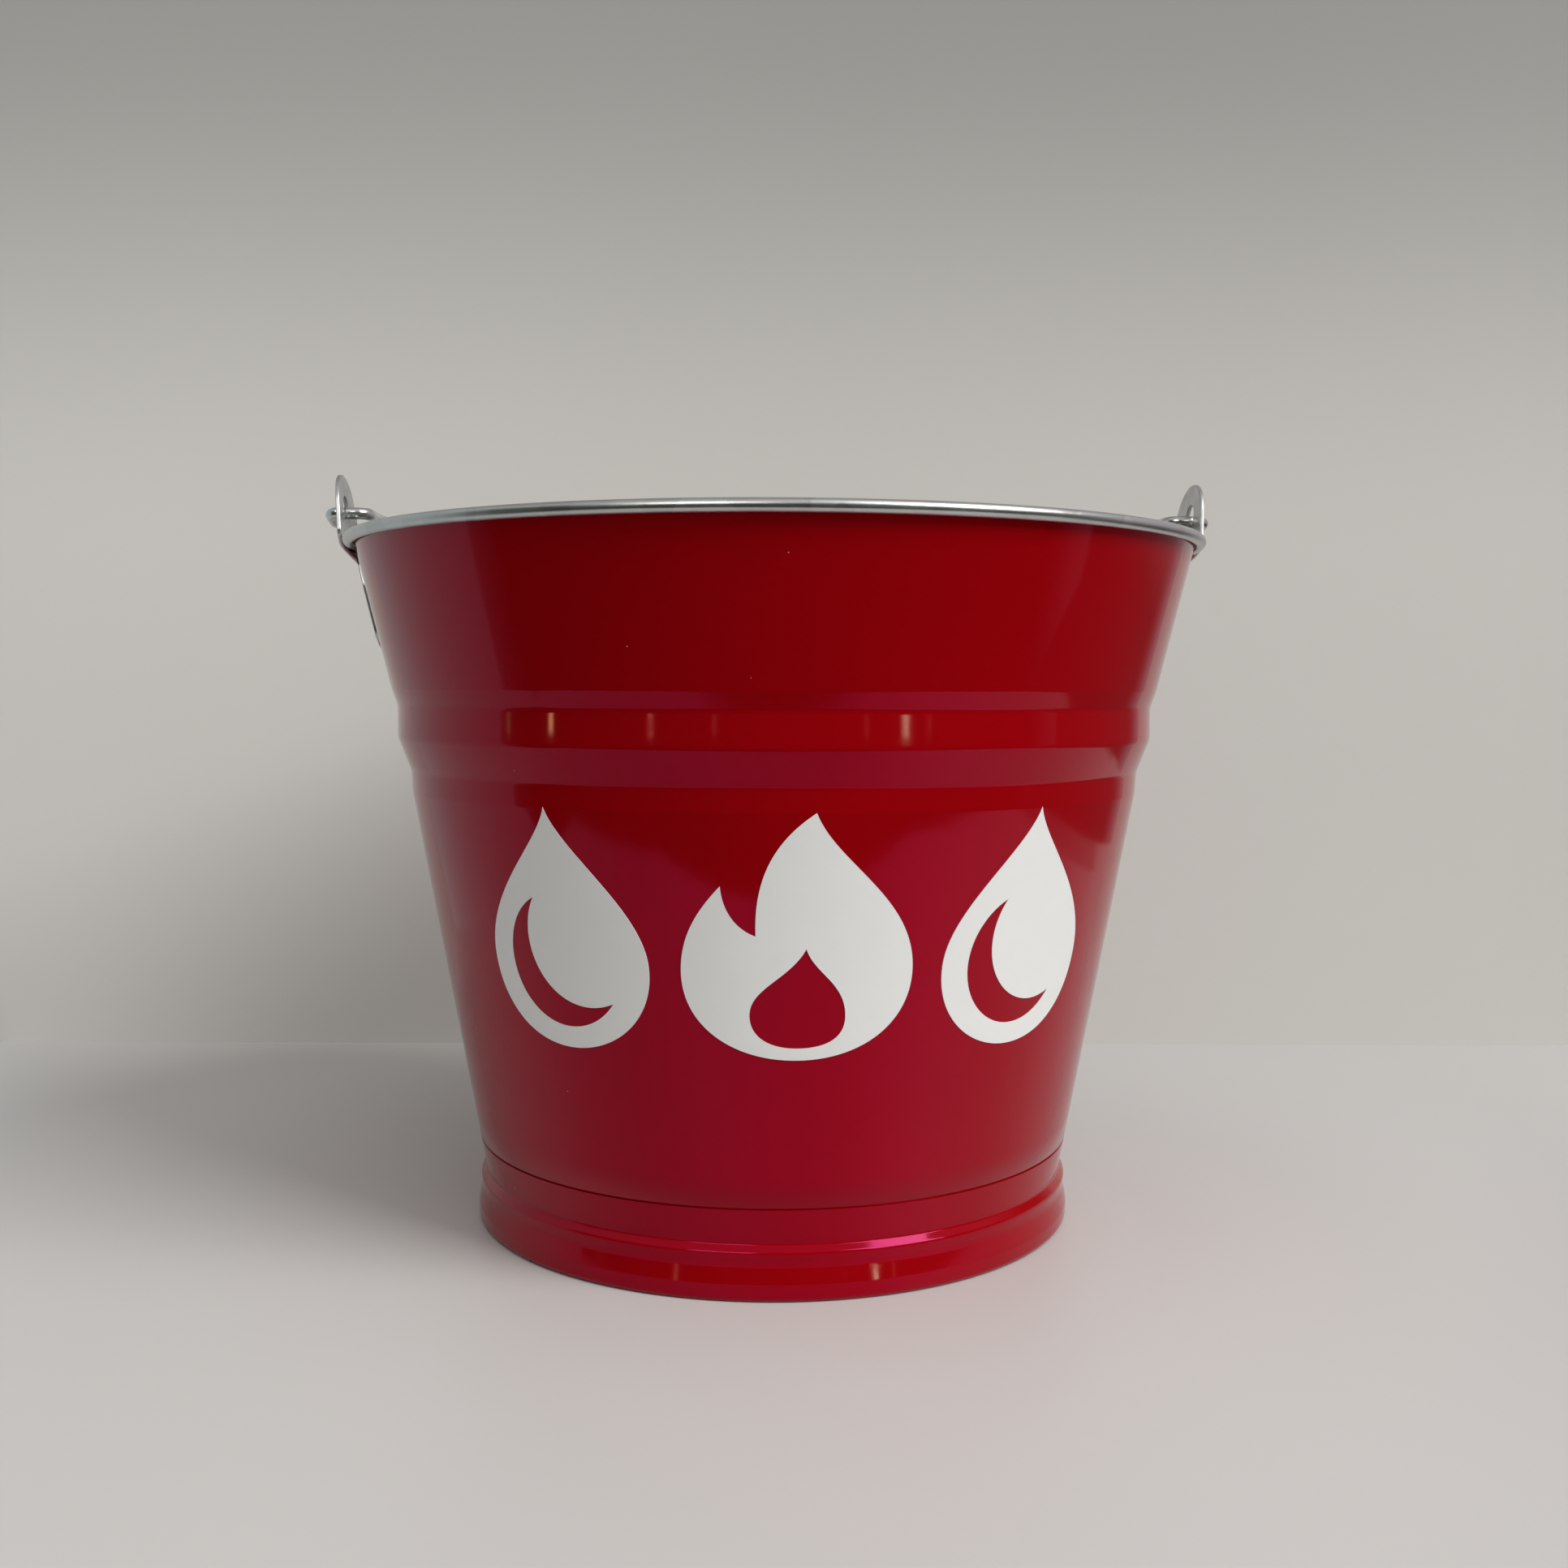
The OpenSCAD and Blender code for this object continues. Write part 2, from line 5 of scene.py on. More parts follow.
import bmesh
import bpy
import numpy as np
from bpy.props import FloatProperty, FloatVectorProperty, IntProperty, PointerProperty
from mathutils import Matrix, Vector
from mathutils.geometry import delaunay_2d_cdt


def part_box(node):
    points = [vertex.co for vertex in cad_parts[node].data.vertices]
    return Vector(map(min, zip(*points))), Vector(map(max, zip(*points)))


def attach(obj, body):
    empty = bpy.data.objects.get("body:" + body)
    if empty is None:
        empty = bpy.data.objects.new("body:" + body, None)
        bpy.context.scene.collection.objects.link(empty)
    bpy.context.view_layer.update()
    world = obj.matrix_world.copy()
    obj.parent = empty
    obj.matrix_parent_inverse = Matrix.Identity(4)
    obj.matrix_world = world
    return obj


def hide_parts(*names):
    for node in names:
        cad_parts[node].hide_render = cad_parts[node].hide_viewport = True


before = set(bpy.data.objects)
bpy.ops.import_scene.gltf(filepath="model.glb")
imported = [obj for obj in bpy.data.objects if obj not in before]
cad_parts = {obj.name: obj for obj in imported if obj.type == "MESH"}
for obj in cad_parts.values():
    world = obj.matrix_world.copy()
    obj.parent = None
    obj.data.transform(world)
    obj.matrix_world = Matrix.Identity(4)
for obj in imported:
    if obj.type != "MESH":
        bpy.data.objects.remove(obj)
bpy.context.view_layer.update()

bl_info = {
    "name": "Fire bucket",
    "version": (1, 0, 0),
    "blender": (4, 5, 0),
    "location": "3D View > Sidebar > Bucket",
    "description": "Builds a painted sheet-steel fire bucket with its bail, grip and stage",
    "category": "Object",
}

SHELL_LOW, SHELL_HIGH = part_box("body_shell")
MM = 0.001

# Rim and wall. PROFILE gives the height and the step inwards of the shoulder, the band, the
# ramp and the heel, from the top down
WIRE_RADIUS, WIRE_GAP, NEST_GAP = 1.4 * MM, 0.03 * MM, 0.05 * MM
RIM_ROLL, BEND, SHOULDER_DROP = 290, 5 * MM, 50.5 * MM
PROFILE = ((5.5 * MM, 1.9 * MM), (10.4 * MM, 0.0), (11 * MM, 4.2 * MM), (6.8 * MM, 0.4 * MM))
SEAM_LOW, SEAM_TOP = 29 * MM, 224 * MM

# Foot and bottom, as heights over the floor, and the neck's and the flare's steps outwards
FOOT_TOP, LEDGE_TOP, LEDGE_LOW, NECK_TOP, FLANGE_LOW = (
    27.6 * MM, 16.6 * MM, 14.4 * MM, 11.8 * MM, 10.4 * MM,
)
NECK_OUT, LEDGE_OUT, FLARE_OUT, FLARE_TOP = 2.2 * MM, 0.35 * MM, 1.1 * MM, 5.2 * MM
FLOOR_Z, FLOOR_STEP = 21 * MM, 1.5 * MM

# Ears: rise of the hinge over the rim, distance from the hinge to the hole's edge, top of the
# ear over the middle of its hole, and its tab's gap to the rim
PIVOT_RISE, HINGE_TO_EDGE, HEAD_OVER_HOLE, TAB_GAP = 9 * MM, 2.3 * MM, 11.2 * MM, 0.6 * MM
EAR_DROP, RIVET_DROP, RIVET_PITCH = 36.5 * MM, 27 * MM, 9.5 * MM
HEAD_RADIUS, WING, BASE, NECK = 14 * MM, 17 * MM, 9.5 * MM, 7 * MM
TAB_LEAN, JOGGLE_LEAN = math.radians(4), math.radians(42)

# Bail and grip: the crown lies CROWN_INSET inside the middle of the rim's bead
CROWN_INSET, CROWN_BEND, LEG_BEND, HOOK_BEND = 3 * MM, 15 * MM, 4 * MM, 3 * MM
LEG_GAP, HOOK_GAP, HOOK_LENGTH, CROWN_HALF = 5 * MM, 1.2 * MM, 7 * MM, 54 * MM
HOOK_DROOP = math.radians(-12)
GRIP_HALF, GRIP_EASE, GRIP_GAP, GRIP_REST = 52 * MM, 1.6 * MM, 0.3 * MM, 8.5 * MM

# The photo sees the bucket turned by this angle, so the stage turns with the camera
SPIN = math.radians(-3.5)

# ---------------------------------------------------------------- settings


def length(name, description, default, low=0.0, high=1.0):
    return FloatProperty(
        name=name, description=description, default=default, min=low, max=high,
        precision=5, unit="LENGTH",
    )


def turn(name, description, degrees):
    return FloatProperty(
        name=name, description=description, default=math.radians(degrees), subtype="ANGLE"
    )


def share(name, description, default):
    return FloatProperty(
        name=name, description=description, default=default, min=0.0, max=1.0, subtype="FACTOR"
    )


def colour(name, description, default):
    return FloatVectorProperty(
        name=name, description=description, default=default, size=3,
        min=0.0, max=1.0, subtype="COLOR",
    )


class WallSettings(bpy.types.PropertyGroup):
    """Sizes and finish of the painted wall, the rolled rim, the foot and the bottom."""

    height: length("Height", "Height over the rolled rim", SHELL_HIGH[2])
    mouth: length("Mouth radius", "Radius over the rolled rim", SHELL_HIGH[0])
    sheet: length("Sheet", "Thickness of the sheet", 0.5 * MM)
    upper_lean: turn("Upper lean", "Lean of the upper cone from upright", 13.6)
    lower_lean: turn("Lower lean", "Lean of the lower cone from upright", 10.4)
    seam_width: length("Seam width", "Width of the folded seam at the back", 6 * MM)
    seam_height: length("Seam height", "Height of the folded seam", 0.8 * MM)
    paint: colour("Paint", "Colour of the paint", (0.29, 0.001, 0.003))
    gloss: share("Roughness", "Roughness of the paint", 0.07)
    zinc: colour("Zinc", "Colour of the bare sheet", (0.60, 0.61, 0.61))


class EarSettings(bpy.types.PropertyGroup):
    """Sizes and finish of the ears and their rivets."""

    plate: length("Plate", "Thickness of an ear", 1.4 * MM)
    edge: length("Edge radius", "Radius of the rounded edges of an ear", 0.45 * MM)
    hole: length("Hole radius", "Radius of the hole for the bail", 4 * MM)
    zinc: colour("Zinc", "Colour of the zinc-plated ears", (0.62, 0.63, 0.63))


class BailSettings(bpy.types.PropertyGroup):
    """Sizes and finish of the wire bail."""

    wire: length("Wire radius", "Radius of the wire", 2 * MM)
    zinc: colour("Zinc", "Colour of the zinc-plated wire", (0.66, 0.67, 0.67))


class GripSettings(bpy.types.PropertyGroup):
    """Sizes and finish of the turned grip."""

    radius: length("Radius", "Largest radius of the grip", 8.49 * MM)
    end_radius: length("End radius", "Radius at the ends of the grip", 6.8 * MM)
    groove: length("Groove depth", "Depth of the turned grooves", 0.35 * MM)
    wood: colour("Wood", "Colour of the light wood", (0.52, 0.32, 0.16))
    grain: colour("Grain", "Colour of the dark grain", (0.34, 0.18, 0.08))


class MarkSettings(bpy.types.PropertyGroup):
    """Sizes and finish of the cut film marks."""

    height: length("Height", "Height of a mark", 72 * MM)
    middle: length("Middle", "Height of the middle of the marks over the floor", 110 * MM)
    step: turn("Step", "Angle between neighbouring marks", 36)
    film: length("Film", "Thickness of the film", 0.17 * MM)
    white: colour("White", "Colour of the film", (0.80, 0.81, 0.80))


class StageSettings(bpy.types.PropertyGroup):
    """The floor, the backdrop, the light and the camera."""

    floor: colour("Floor", "Colour of the floor", (0.62, 0.61, 0.60))
    wall: colour("Backdrop", "Colour of the backdrop", (0.71, 0.70, 0.67))
    key: FloatProperty(name="Key", description="Level of the main light", default=0.86)
    front: FloatProperty(name="Front", description="Level of the light before it", default=0.12)
    top: FloatProperty(name="Top", description="Level of the soft light overhead", default=0.18)
    fill: FloatProperty(name="Fill", description="Level of the light all round", default=0.275)
    lens: FloatProperty(name="Lens", description="Focal length in millimetres", default=37.91)
    segments: IntProperty(name="Segments", description="Faces round a turned piece", default=256)


# ------------------------------------------------------------ shader maths


class Tap:
    """A socket of a node tree. Arithmetic on it adds the Math nodes that work it out."""

    def __init__(self, tree, socket):
        self.tree, self.socket = tree, socket

    def maths(self, operation, *values):
        settings = {"operation": operation}
        return node(self.tree, "ShaderNodeMath", settings, dict(enumerate(values)))[0]

    def __add__(self, other):
        return self.maths("ADD", self, other)

    def __radd__(self, other):
        return self.maths("ADD", other, self)

    def __sub__(self, other):
        return self.maths("SUBTRACT", self, other)

    def __rsub__(self, other):
        return self.maths("SUBTRACT", other, self)

    def __mul__(self, other):
        return self.maths("MULTIPLY", self, other)

    def __rmul__(self, other):
        return self.maths("MULTIPLY", other, self)

    def above(self, level):
        """1 above the level and 0 below it."""
        return self.maths("GREATER_THAN", self, level)

    def between(self, low, high):
        """0 below low, 1 above high, and a smooth step from one to the other."""
        settings = {"interpolation_type": "SMOOTHSTEP"}
        ends = {"Value": self, "From Min": low, "From Max": high, "To Min": 0.0, "To Max": 1.0}
        return node(self.tree, "ShaderNodeMapRange", settings, ends)[0]


def node(tree, kind, settings=None, inputs=None):
    """Adds a node, sets it up, gives its sockets their values or links; returns its outputs."""
    made = tree.nodes.new(kind)
    for key, value in (settings or {}).items():
        setattr(made, key, value)
    for key, value in (inputs or {}).items():
        if isinstance(value, Tap):
            tree.links.new(value.socket, made.inputs[key])
        else:
            made.inputs[key].default_value = value
    return [Tap(tree, out) for out in made.outputs]


def rgba(tone, part=1.0):
    """A colour, or a darker one that keeps only a part of it, for a colour socket."""
    return (*(part * c for c in tone), 1.0)


def mix(factor, first, second):
    """One colour at factor 0 and the other at factor 1."""
    values = {0: factor, 6: first, 7: second}
    return node(factor.tree, "ShaderNodeMix", {"data_type": "RGBA"}, values)[2]


class Finish:
    """A material with one Principled shader, whose varying inputs come from patterns."""

    def __init__(self, name, **fixed):
        self.material = bpy.data.materials.new(name)
        self.material.use_nodes = True
        self.tree = self.material.node_tree
        self.shader = self.tree.nodes["Principled BSDF"]
        for key, value in fixed.items():
            socket = key.replace("_", " ").title().replace("Ior", "IOR")
            self.shader.inputs[socket].default_value = value

    def feed(self, socket, tap):
        self.tree.links.new(tap.socket, self.shader.inputs[socket])

    def place(self):
        """Position in the row's frame, in metres."""
        return node(self.tree, "ShaderNodeTexCoord")[3]

    def wrapped(self, across, along):
        """The piece's own map, in metres, times a rate along each of its two directions."""
        uv = node(self.tree, "ShaderNodeUVMap", {"uv_map": "UVMap"})[0]
        return self.scaled(uv, (across, along, 1.0))

    def scaled(self, vector, rates):
        settings = {"operation": "MULTIPLY"}
        return node(self.tree, "ShaderNodeVectorMath", settings, {0: vector, 1: rates})[0]

    def noise(self, vector, scale, detail=2.0, rough=0.5):
        inputs = {"Vector": vector, "Scale": scale, "Detail": detail, "Roughness": rough}
        return node(self.tree, "ShaderNodeTexNoise", None, inputs)[0]

    def cells(self, vector, scale):
        """Distance to the nearest cell's middle, and that cell's own colour."""
        return node(self.tree, "ShaderNodeTexVoronoi", None, {"Vector": vector, "Scale": scale})[:2]

    def bump(self, height, depth):
        inputs = {"Height": height, "Distance": depth, "Strength": 1.0}
        self.feed("Normal", node(self.tree, "ShaderNodeBump", None, inputs)[0])


def specks(finish, scale, size, rarity):
    """Small round dots: the middles of a few cells of a sparse pattern."""
    distance, tone = finish.cells(finish.place(), scale)
    parts = node(finish.tree, "ShaderNodeSeparateColor", None, {0: tone})
    return (1 - distance.between(size * 0.6, size)) * parts[0].above(1 - rarity)


def paint_finish(settings):
    """Glossy stoved enamel: faint orange peel, slow waves of the sheet, fine dust."""
    made = Finish("glossy_red_paint", metallic=0.0, ior=1.5, specular_tint=(1.0, 0.10, 0.42, 1.0))
    place = made.place()
    red = settings.paint
    tone = mix(made.noise(place, 22.0, 3.0), rgba(red, 0.90), rgba(red))
    dust = specks(made, 210.0, 0.05, 0.035)
    made.feed("Base Color", mix(dust * 0.5, tone, rgba((0.62, 0.45, 0.42))))
    cloud = made.noise(place, 60.0, 3.0)
    made.feed("Roughness", cloud * 0.06 + (settings.gloss - 0.02) + dust * 0.3)
    peel = made.noise(place, 420.0, 2.0)
    waves = made.noise(made.wrapped(38.0, 3.0), 1.0, 1.0)
    made.bump(peel * 0.10 + waves * 1.2 + dust * 0.6, 0.00003)
    return made.material


def zinc_sheet_finish(name, zinc, lines):
    """Galvanised sheet: soft crystal spangles, and fine rolling lines where lines is above 0."""
    made = Finish(name, metallic=1.0)
    place = made.place()
    bent = made.noise(place, 90.0, 2.0)
    parts = node(made.tree, "ShaderNodeSeparateColor", None, {0: made.cells(place, 150.0)[1]})
    spangle = parts[0] * 0.6 + parts[1] * 0.2 + bent * 0.2
    made.feed("Base Color", mix(spangle, rgba(zinc, 0.80), rgba(zinc)))
    if lines:
        drawn = made.noise(made.wrapped(12.0, 5200.0), 1.0, 3.0, 0.6)
        made.feed("Roughness", drawn * 0.14 + spangle * 0.06 + 0.24)
        made.bump(drawn, 0.000012 * lines)
    else:
        made.feed("Roughness", spangle * 0.16 + made.noise(place, 30.0, 3.0) * 0.12 + 0.26)
        made.bump(made.noise(place, 700.0, 3.0), 0.000012)
    return made.material


def plated_finish(name, zinc, rough):
    """Satin zinc plating on a pressing: cloudy, with a fine tumbled texture."""
    made = Finish(name, metallic=1.0)
    place = made.place()
    cloud = made.noise(place, 120.0, 4.0, 0.6)
    made.feed("Base Color", mix(cloud.between(0.25, 0.75), rgba(zinc, 0.72), rgba(zinc)))
    made.feed("Roughness", cloud * 0.16 + (rough - 0.08))
    made.bump(made.noise(place, 1500.0, 3.0) + cloud * 0.6, 0.00002)
    return made.material


def wire_finish(name, zinc):
    """Bright drawn wire: fine lines along it and a few dull clouds."""
    made = Finish(name, metallic=1.0)
    cloud = made.noise(made.place(), 160.0, 3.0)
    drawn = made.noise(made.wrapped(3800.0, 25.0), 1.0, 2.0)
    made.feed("Base Color", mix(cloud.between(0.3, 0.8), rgba(zinc), rgba(zinc, 0.76)))
    made.feed("Roughness", drawn * 0.12 + cloud * 0.12 + 0.14)
    made.bump(drawn + cloud * 0.3, 0.00001)
    return made.material


def wood_finish(settings):
    """Turned beech under thin varnish: long grain, short dark flecks, faint lathe lines."""
    made = Finish("turned_beech", metallic=0.0, coat_roughness=0.12, coat_weight=0.35)
    place = made.place()
    grain = made.noise(made.scaled(place, (9.0, 150.0, 150.0)), 1.0, 4.0, 0.6)
    streak = made.noise(made.scaled(place, (30.0, 900.0, 900.0)), 1.0, 2.0)
    fleck = made.cells(made.scaled(place, (170.0, 1300.0, 1300.0)), 1.0)[0]
    dark = 1 - fleck.between(0.10, 0.22)
    tone = mix(grain.between(0.35, 0.68), rgba(settings.wood), rgba(settings.grain))
    made.feed("Base Color", mix(dark * 0.45 + streak * 0.12, tone, rgba(settings.grain, 0.6)))
    made.feed("Roughness", grain * 0.14 + dark * 0.1 + 0.30)
    lathe = made.noise(made.wrapped(4.0, 2600.0), 1.0, 1.0)
    made.bump(lathe * 0.4 - dark * 0.6 + grain * 0.3, 0.00003)
    return made.material


def film_finish(settings):
    """Satin cut film: faint clouds, dust and a leather-like micro texture."""
    made = Finish("satin_white_film", metallic=0.0, ior=1.4)
    place = made.place()
    white = settings.white
    tone = mix(made.noise(place, 70.0, 4.0, 0.6), rgba(white, 0.95), rgba(white))
    dust = specks(made, 170.0, 0.05, 0.05)
    made.feed("Base Color", mix(dust * 0.8, tone, rgba((0.25, 0.20, 0.19))))
    made.feed("Roughness", made.noise(place, 50.0, 2.0) * 0.1 + 0.36)
    made.bump(made.noise(place, 2500.0, 2.0) + made.noise(place, 130.0) * 2.0, 0.000012)
    return made.material


# ------------------------------------------------------------ curves


def arc(centre, radius, start, end, count=16):
    """Points on a circle round centre, from the angle start to end, in degrees."""
    angle = np.radians(np.linspace(start, end, count + 1))
    return np.array(centre) + radius * np.stack([np.cos(angle), np.sin(angle)], axis=1)


def rounded(corners, count=10):
    """A path through corners of x, y and radius; each inner corner becomes the arc that
    touches both of its straight lines."""
    made = [np.array([corners[0][:2]])]
    for before, here, after in zip(corners, corners[1:], corners[2:]):
        at = np.array(here[:2])
        if here[2] == 0:
            made.append(at[None])
            continue
        back = np.array(before[:2]) - at
        on = np.array(after[:2]) - at
        back, on = back / np.linalg.norm(back), on / np.linalg.norm(on)
        half = math.acos(float(back @ on)) / 2
        middle = at + (back + on) / np.linalg.norm(back + on) * here[2] / math.sin(half)
        reach = here[2] / math.tan(half)
        first, last = at + back * reach - middle, at + on * reach - middle
        start = math.degrees(math.atan2(first[1], first[0]))
        side = first[0] * last[1] - first[1] * last[0]
        bend = math.degrees(math.atan2(side, float(first @ last)))
        made.append(arc(middle, here[2], start, start + bend, count))
    made.append(np.array([corners[-1][:2]]))
    return np.concatenate(made)


def beside(path, distance):
    """The path moved to its left: each point goes along the mean of its two normals."""
    step = np.diff(path, axis=0)
    step /= np.linalg.norm(step, axis=1, keepdims=True)
    left = np.stack([-step[:, 1], step[:, 0]], axis=1)
    before, after = np.vstack([left[:1], left]), np.vstack([left, left[-1:]])
    return path + (before + after) * distance / (1 + np.sum(before * after, axis=1, keepdims=True))


def stepped(path, longest):
    """The same path with points added, so that no step is longer than the given one."""
    parts = []
    for first, last in zip(path, path[1:]):
        count = max(1, math.ceil(float(np.linalg.norm(last - first)) / longest))
        parts.append(first + (last - first) * np.linspace(0, 1, count, endpoint=False)[:, None])
    return np.concatenate([*parts, path[-1:]])


def cubic(ends, count=28):
    """A cubic curve through the first and last of four points, with the others as handles."""
    a, b, c, d = (np.array(p) for p in ends)
    t = np.linspace(0, 1, count, endpoint=False)[:, None]
    return a * (1 - t) ** 3 + 3 * b * t * (1 - t) ** 2 + 3 * c * t * t * (1 - t) + d * t**3


def run(path):
    """Length along a path at each of its points."""
    steps = np.linalg.norm(np.diff(path, axis=0), axis=1)
    return np.concatenate([[0.0], np.cumsum(steps)])


# ------------------------------------------------------------ surfaces


def skin(name, points, across, along, closed=(False, False), finishes=(), tones=None):
    """A surface on a grid of rows and columns. A face joins two columns, then two rows, and
    its normal is the column direction crossed with the row direction. across and along are
    the map's values at the columns and rows, with one more value where the grid closes."""
    rows, columns = points.shape[:2]
    i, j = np.meshgrid(
        np.arange(rows - (not closed[0])), np.arange(columns - (not closed[1])), indexing="ij"
    )
    i, j = i.ravel(), j.ravel()
    below, above = (i + 1) % rows, (j + 1) % columns
    faces = np.stack(
        [i * columns + j, i * columns + above, below * columns + above, below * columns + j], axis=1
    )
    mesh = bpy.data.meshes.new(name)
    mesh.from_pydata(points.reshape(-1, 3).tolist(), [], faces.tolist())
    uv = np.stack([across[[j, j + 1, j + 1, j]].T, along[[i, i, i + 1, i + 1]].T], axis=2)
    layer = mesh.uv_layers.new(name="UVMap")
    layer.data.foreach_set("uv", uv.astype(np.float32).ravel())
    for finish in finishes:
        mesh.materials.append(finish)
    if tones is not None:
        mesh.polygons.foreach_set("material_index", tones[i].astype(np.int32))
    return finished(name, mesh)


def finished(name, mesh):
    """Merges the doubles at poles and seams, shades smooth, and links the object."""
    work = bmesh.new()
    work.from_mesh(mesh)
    bmesh.ops.remove_doubles(work, verts=work.verts, dist=1e-7)
    bmesh.ops.dissolve_degenerate(work, edges=work.edges, dist=1e-8)
    work.to_mesh(mesh)
    work.free()
    mesh.polygons.foreach_set("use_smooth", np.ones(len(mesh.polygons), bool))
    mesh.set_sharp_from_angle(angle=math.radians(35))
    made = bpy.data.objects.new(name, mesh)
    bpy.context.scene.collection.objects.link(made)
    return made


def turned(path, angles, lift=None):
    """A path of radius and height carried round the Z axis. lift adds to the radius, and is
    worked out from the angle and the row."""
    radius = path[:, 0][:, None] + np.zeros(len(angles))
    if lift is not None:
        radius = radius + lift
    return np.stack(
        [radius * np.cos(angles), radius * np.sin(angles), path[:, 1][:, None] + 0 * radius], axis=2
    )


def seam_angles(count, width, radius):
    """Angles round the Z axis that start at the back and crowd near the seam there."""
    near = 2.2 * width / radius
    fine = np.linspace(-near, near, 41)
    coarse = np.linspace(near, 2 * math.pi - near, count - 40)[1:-1]
    return math.pi / 2 + np.concatenate([fine, coarse])


def round_object(name, path, angles, finishes, closed=True, tones=None, lift=None):
    """A closed outline, or an open one that ends on the axis, turned round the Z axis."""
    points = turned(path, angles, lift)
    spans = np.append(angles, angles[0] + 2 * math.pi) * float(path[:, 0].max())
    lengths = run(np.vstack([path, path[:1]]) if closed else path)
    return skin(name, points, spans, lengths, (closed, True), finishes, tones)


def ride(piece, body, node_name):
    """Puts a piece on its body, in the place of a CAD node, which it hides."""
    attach(piece, body)
    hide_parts(node_name)


def carried(points, place):
    """Points moved by a 4 by 4 matrix: turned by its first three columns, shifted by the last."""
    return points @ place[:3, :3].T + place[:3, 3]


# ------------------------------------------------------------ the bucket's own curves


class Bucket:
    """The wall's outer face as heights and radii, worked out from the settings."""

    def __init__(self, wall):
        self.wall = wall
        self.wire = WIRE_RADIUS + WIRE_GAP
        self.bead = self.wire + wall.sheet
        self.bead_at = np.array([wall.mouth - self.bead, wall.height - self.bead])
        lean = wall.upper_lean
        self.cone_top = self.bead_at + self.wire * np.array([-math.cos(lean), math.sin(lean)])
        self.shoulder_z = wall.height - SHOULDER_DROP
        self.shoulder = self.cone_top[0] - (self.cone_top[1] - self.shoulder_z) * math.tan(lean)
        corners = [np.array([self.shoulder, self.shoulder_z])]
        for high, inward in PROFILE:
            corners.append(corners[-1] - (inward, high))
        self.corners = corners[::-1]
        self.lower, self.lower_z = self.corners[0]
        self.tuck = wall.sheet + NEST_GAP
        self.neck = self.low(FLANGE_LOW) + NECK_OUT

    def low(self, z):
        """Radius of the lower cone at a height."""
        return self.lower - (self.lower_z - z) * math.tan(self.wall.lower_lean)

    def high(self, z):
        """Radius of the upper cone at a height."""
        return self.shoulder + (z - self.shoulder_z) * math.tan(self.wall.upper_lean)

    def tucked(self, z):
        """Radius of the wall behind the foot ring at a height."""
        return self.low(z) - self.tuck / math.cos(self.wall.lower_lean)

    def hug(self, corner=1.6 * MM):
        """The stretch that the foot ring and the bottom's flange follow: an upright neck that
        widens a little, a ledge that steps in, and the tucked-in cone up to the ring's top."""
        return rounded([
            (self.neck, FLANGE_LOW, 0),
            (self.neck, NECK_TOP, 3 * MM),
            (self.neck + LEDGE_OUT, LEDGE_LOW, corner),
            (self.tucked(LEDGE_TOP), LEDGE_TOP, 1.6 * MM),
            (self.tucked(FOOT_TOP), FOOT_TOP, 0),
        ])

    def bends(self, start_z, end):
        """The lower cone, heel, ramp, band, shoulder and upper cone, with a bend at each corner."""
        bends = [(*corner, BEND) for corner in self.corners]
        return rounded([(self.low(start_z), start_z, 0), *bends, (*end, 0)])

    def outer(self):
        """The painted face of the wall from its lower edge, round the rim's wire to its end."""
        start = 180 - math.degrees(self.wall.upper_lean)
        collar = FOOT_TOP + 0.15 * MM
        wall = np.vstack([
            self.hug(),
            [[self.tucked(collar), collar]],
            self.bends(collar + 0.7 * MM, self.cone_top),
        ])
        roll = arc(self.bead_at, self.wire, start, start - RIM_ROLL, 56)[1:]
        return stepped(wall, 8 * MM), roll


def sheet_outline(path, thickness, longest=None):
    """Closed outline of a sheet on the left of a path."""
    path = path if longest is None else stepped(path, longest)
    return np.vstack([path, beside(path, thickness)[::-1]])


# ------------------------------------------------------------ operators


class BUCKET_OT_wall(bpy.types.Operator):
    """Builds the painted wall with its rolled rim, band, ledge and folded seam"""

    bl_idname = "bucket.wall"
    bl_label = "Wall"

    def execute(self, context):
        wall = context.scene.bucket_wall
        shape = Bucket(wall)
        path, roll = shape.outer()
        painted = len(path) - 1
        path = np.vstack([path, roll])
        outline = sheet_outline(path, wall.sheet)
        tones = np.ones(len(outline), int)
        tones[:painted] = 0
        tones[painted:painted + 2 * len(roll) + 1] = 2
        angles = seam_angles(context.scene.bucket_stage.segments, wall.seam_width, wall.mouth)
        # The seam is a flat strip with rolled-over sides, that fades out at both of its ends
        off = np.abs((angles - math.pi / 2 + math.pi) % (2 * math.pi) - math.pi)
        aside = off[None] * outline[:, 0][:, None] / (wall.seam_width / 2)
        strip = np.clip((1.12 - aside) / 0.24, 0, 1)
        strip = strip * strip * (3 - 2 * strip)
        z = outline[:, 1][:, None]
        ends = np.clip((z - SEAM_LOW) / (3 * MM), 0, 1) * np.clip((SEAM_TOP - z) / (4 * MM), 0, 1)
        is_outer = (np.arange(len(outline)) < painted)[:, None]
        lift = wall.seam_height * strip * ends * is_outer
        finishes = [
            paint_finish(wall),
            zinc_sheet_finish("galvanised_inside", wall.zinc, 0),
            zinc_sheet_finish("rolled_rim_zinc", wall.zinc, 1),
        ]
        made = round_object("wall_sheet", outline, angles, finishes, True, tones, lift)
        ride(made, "bucket", "body_shell")
        return {"FINISHED"}


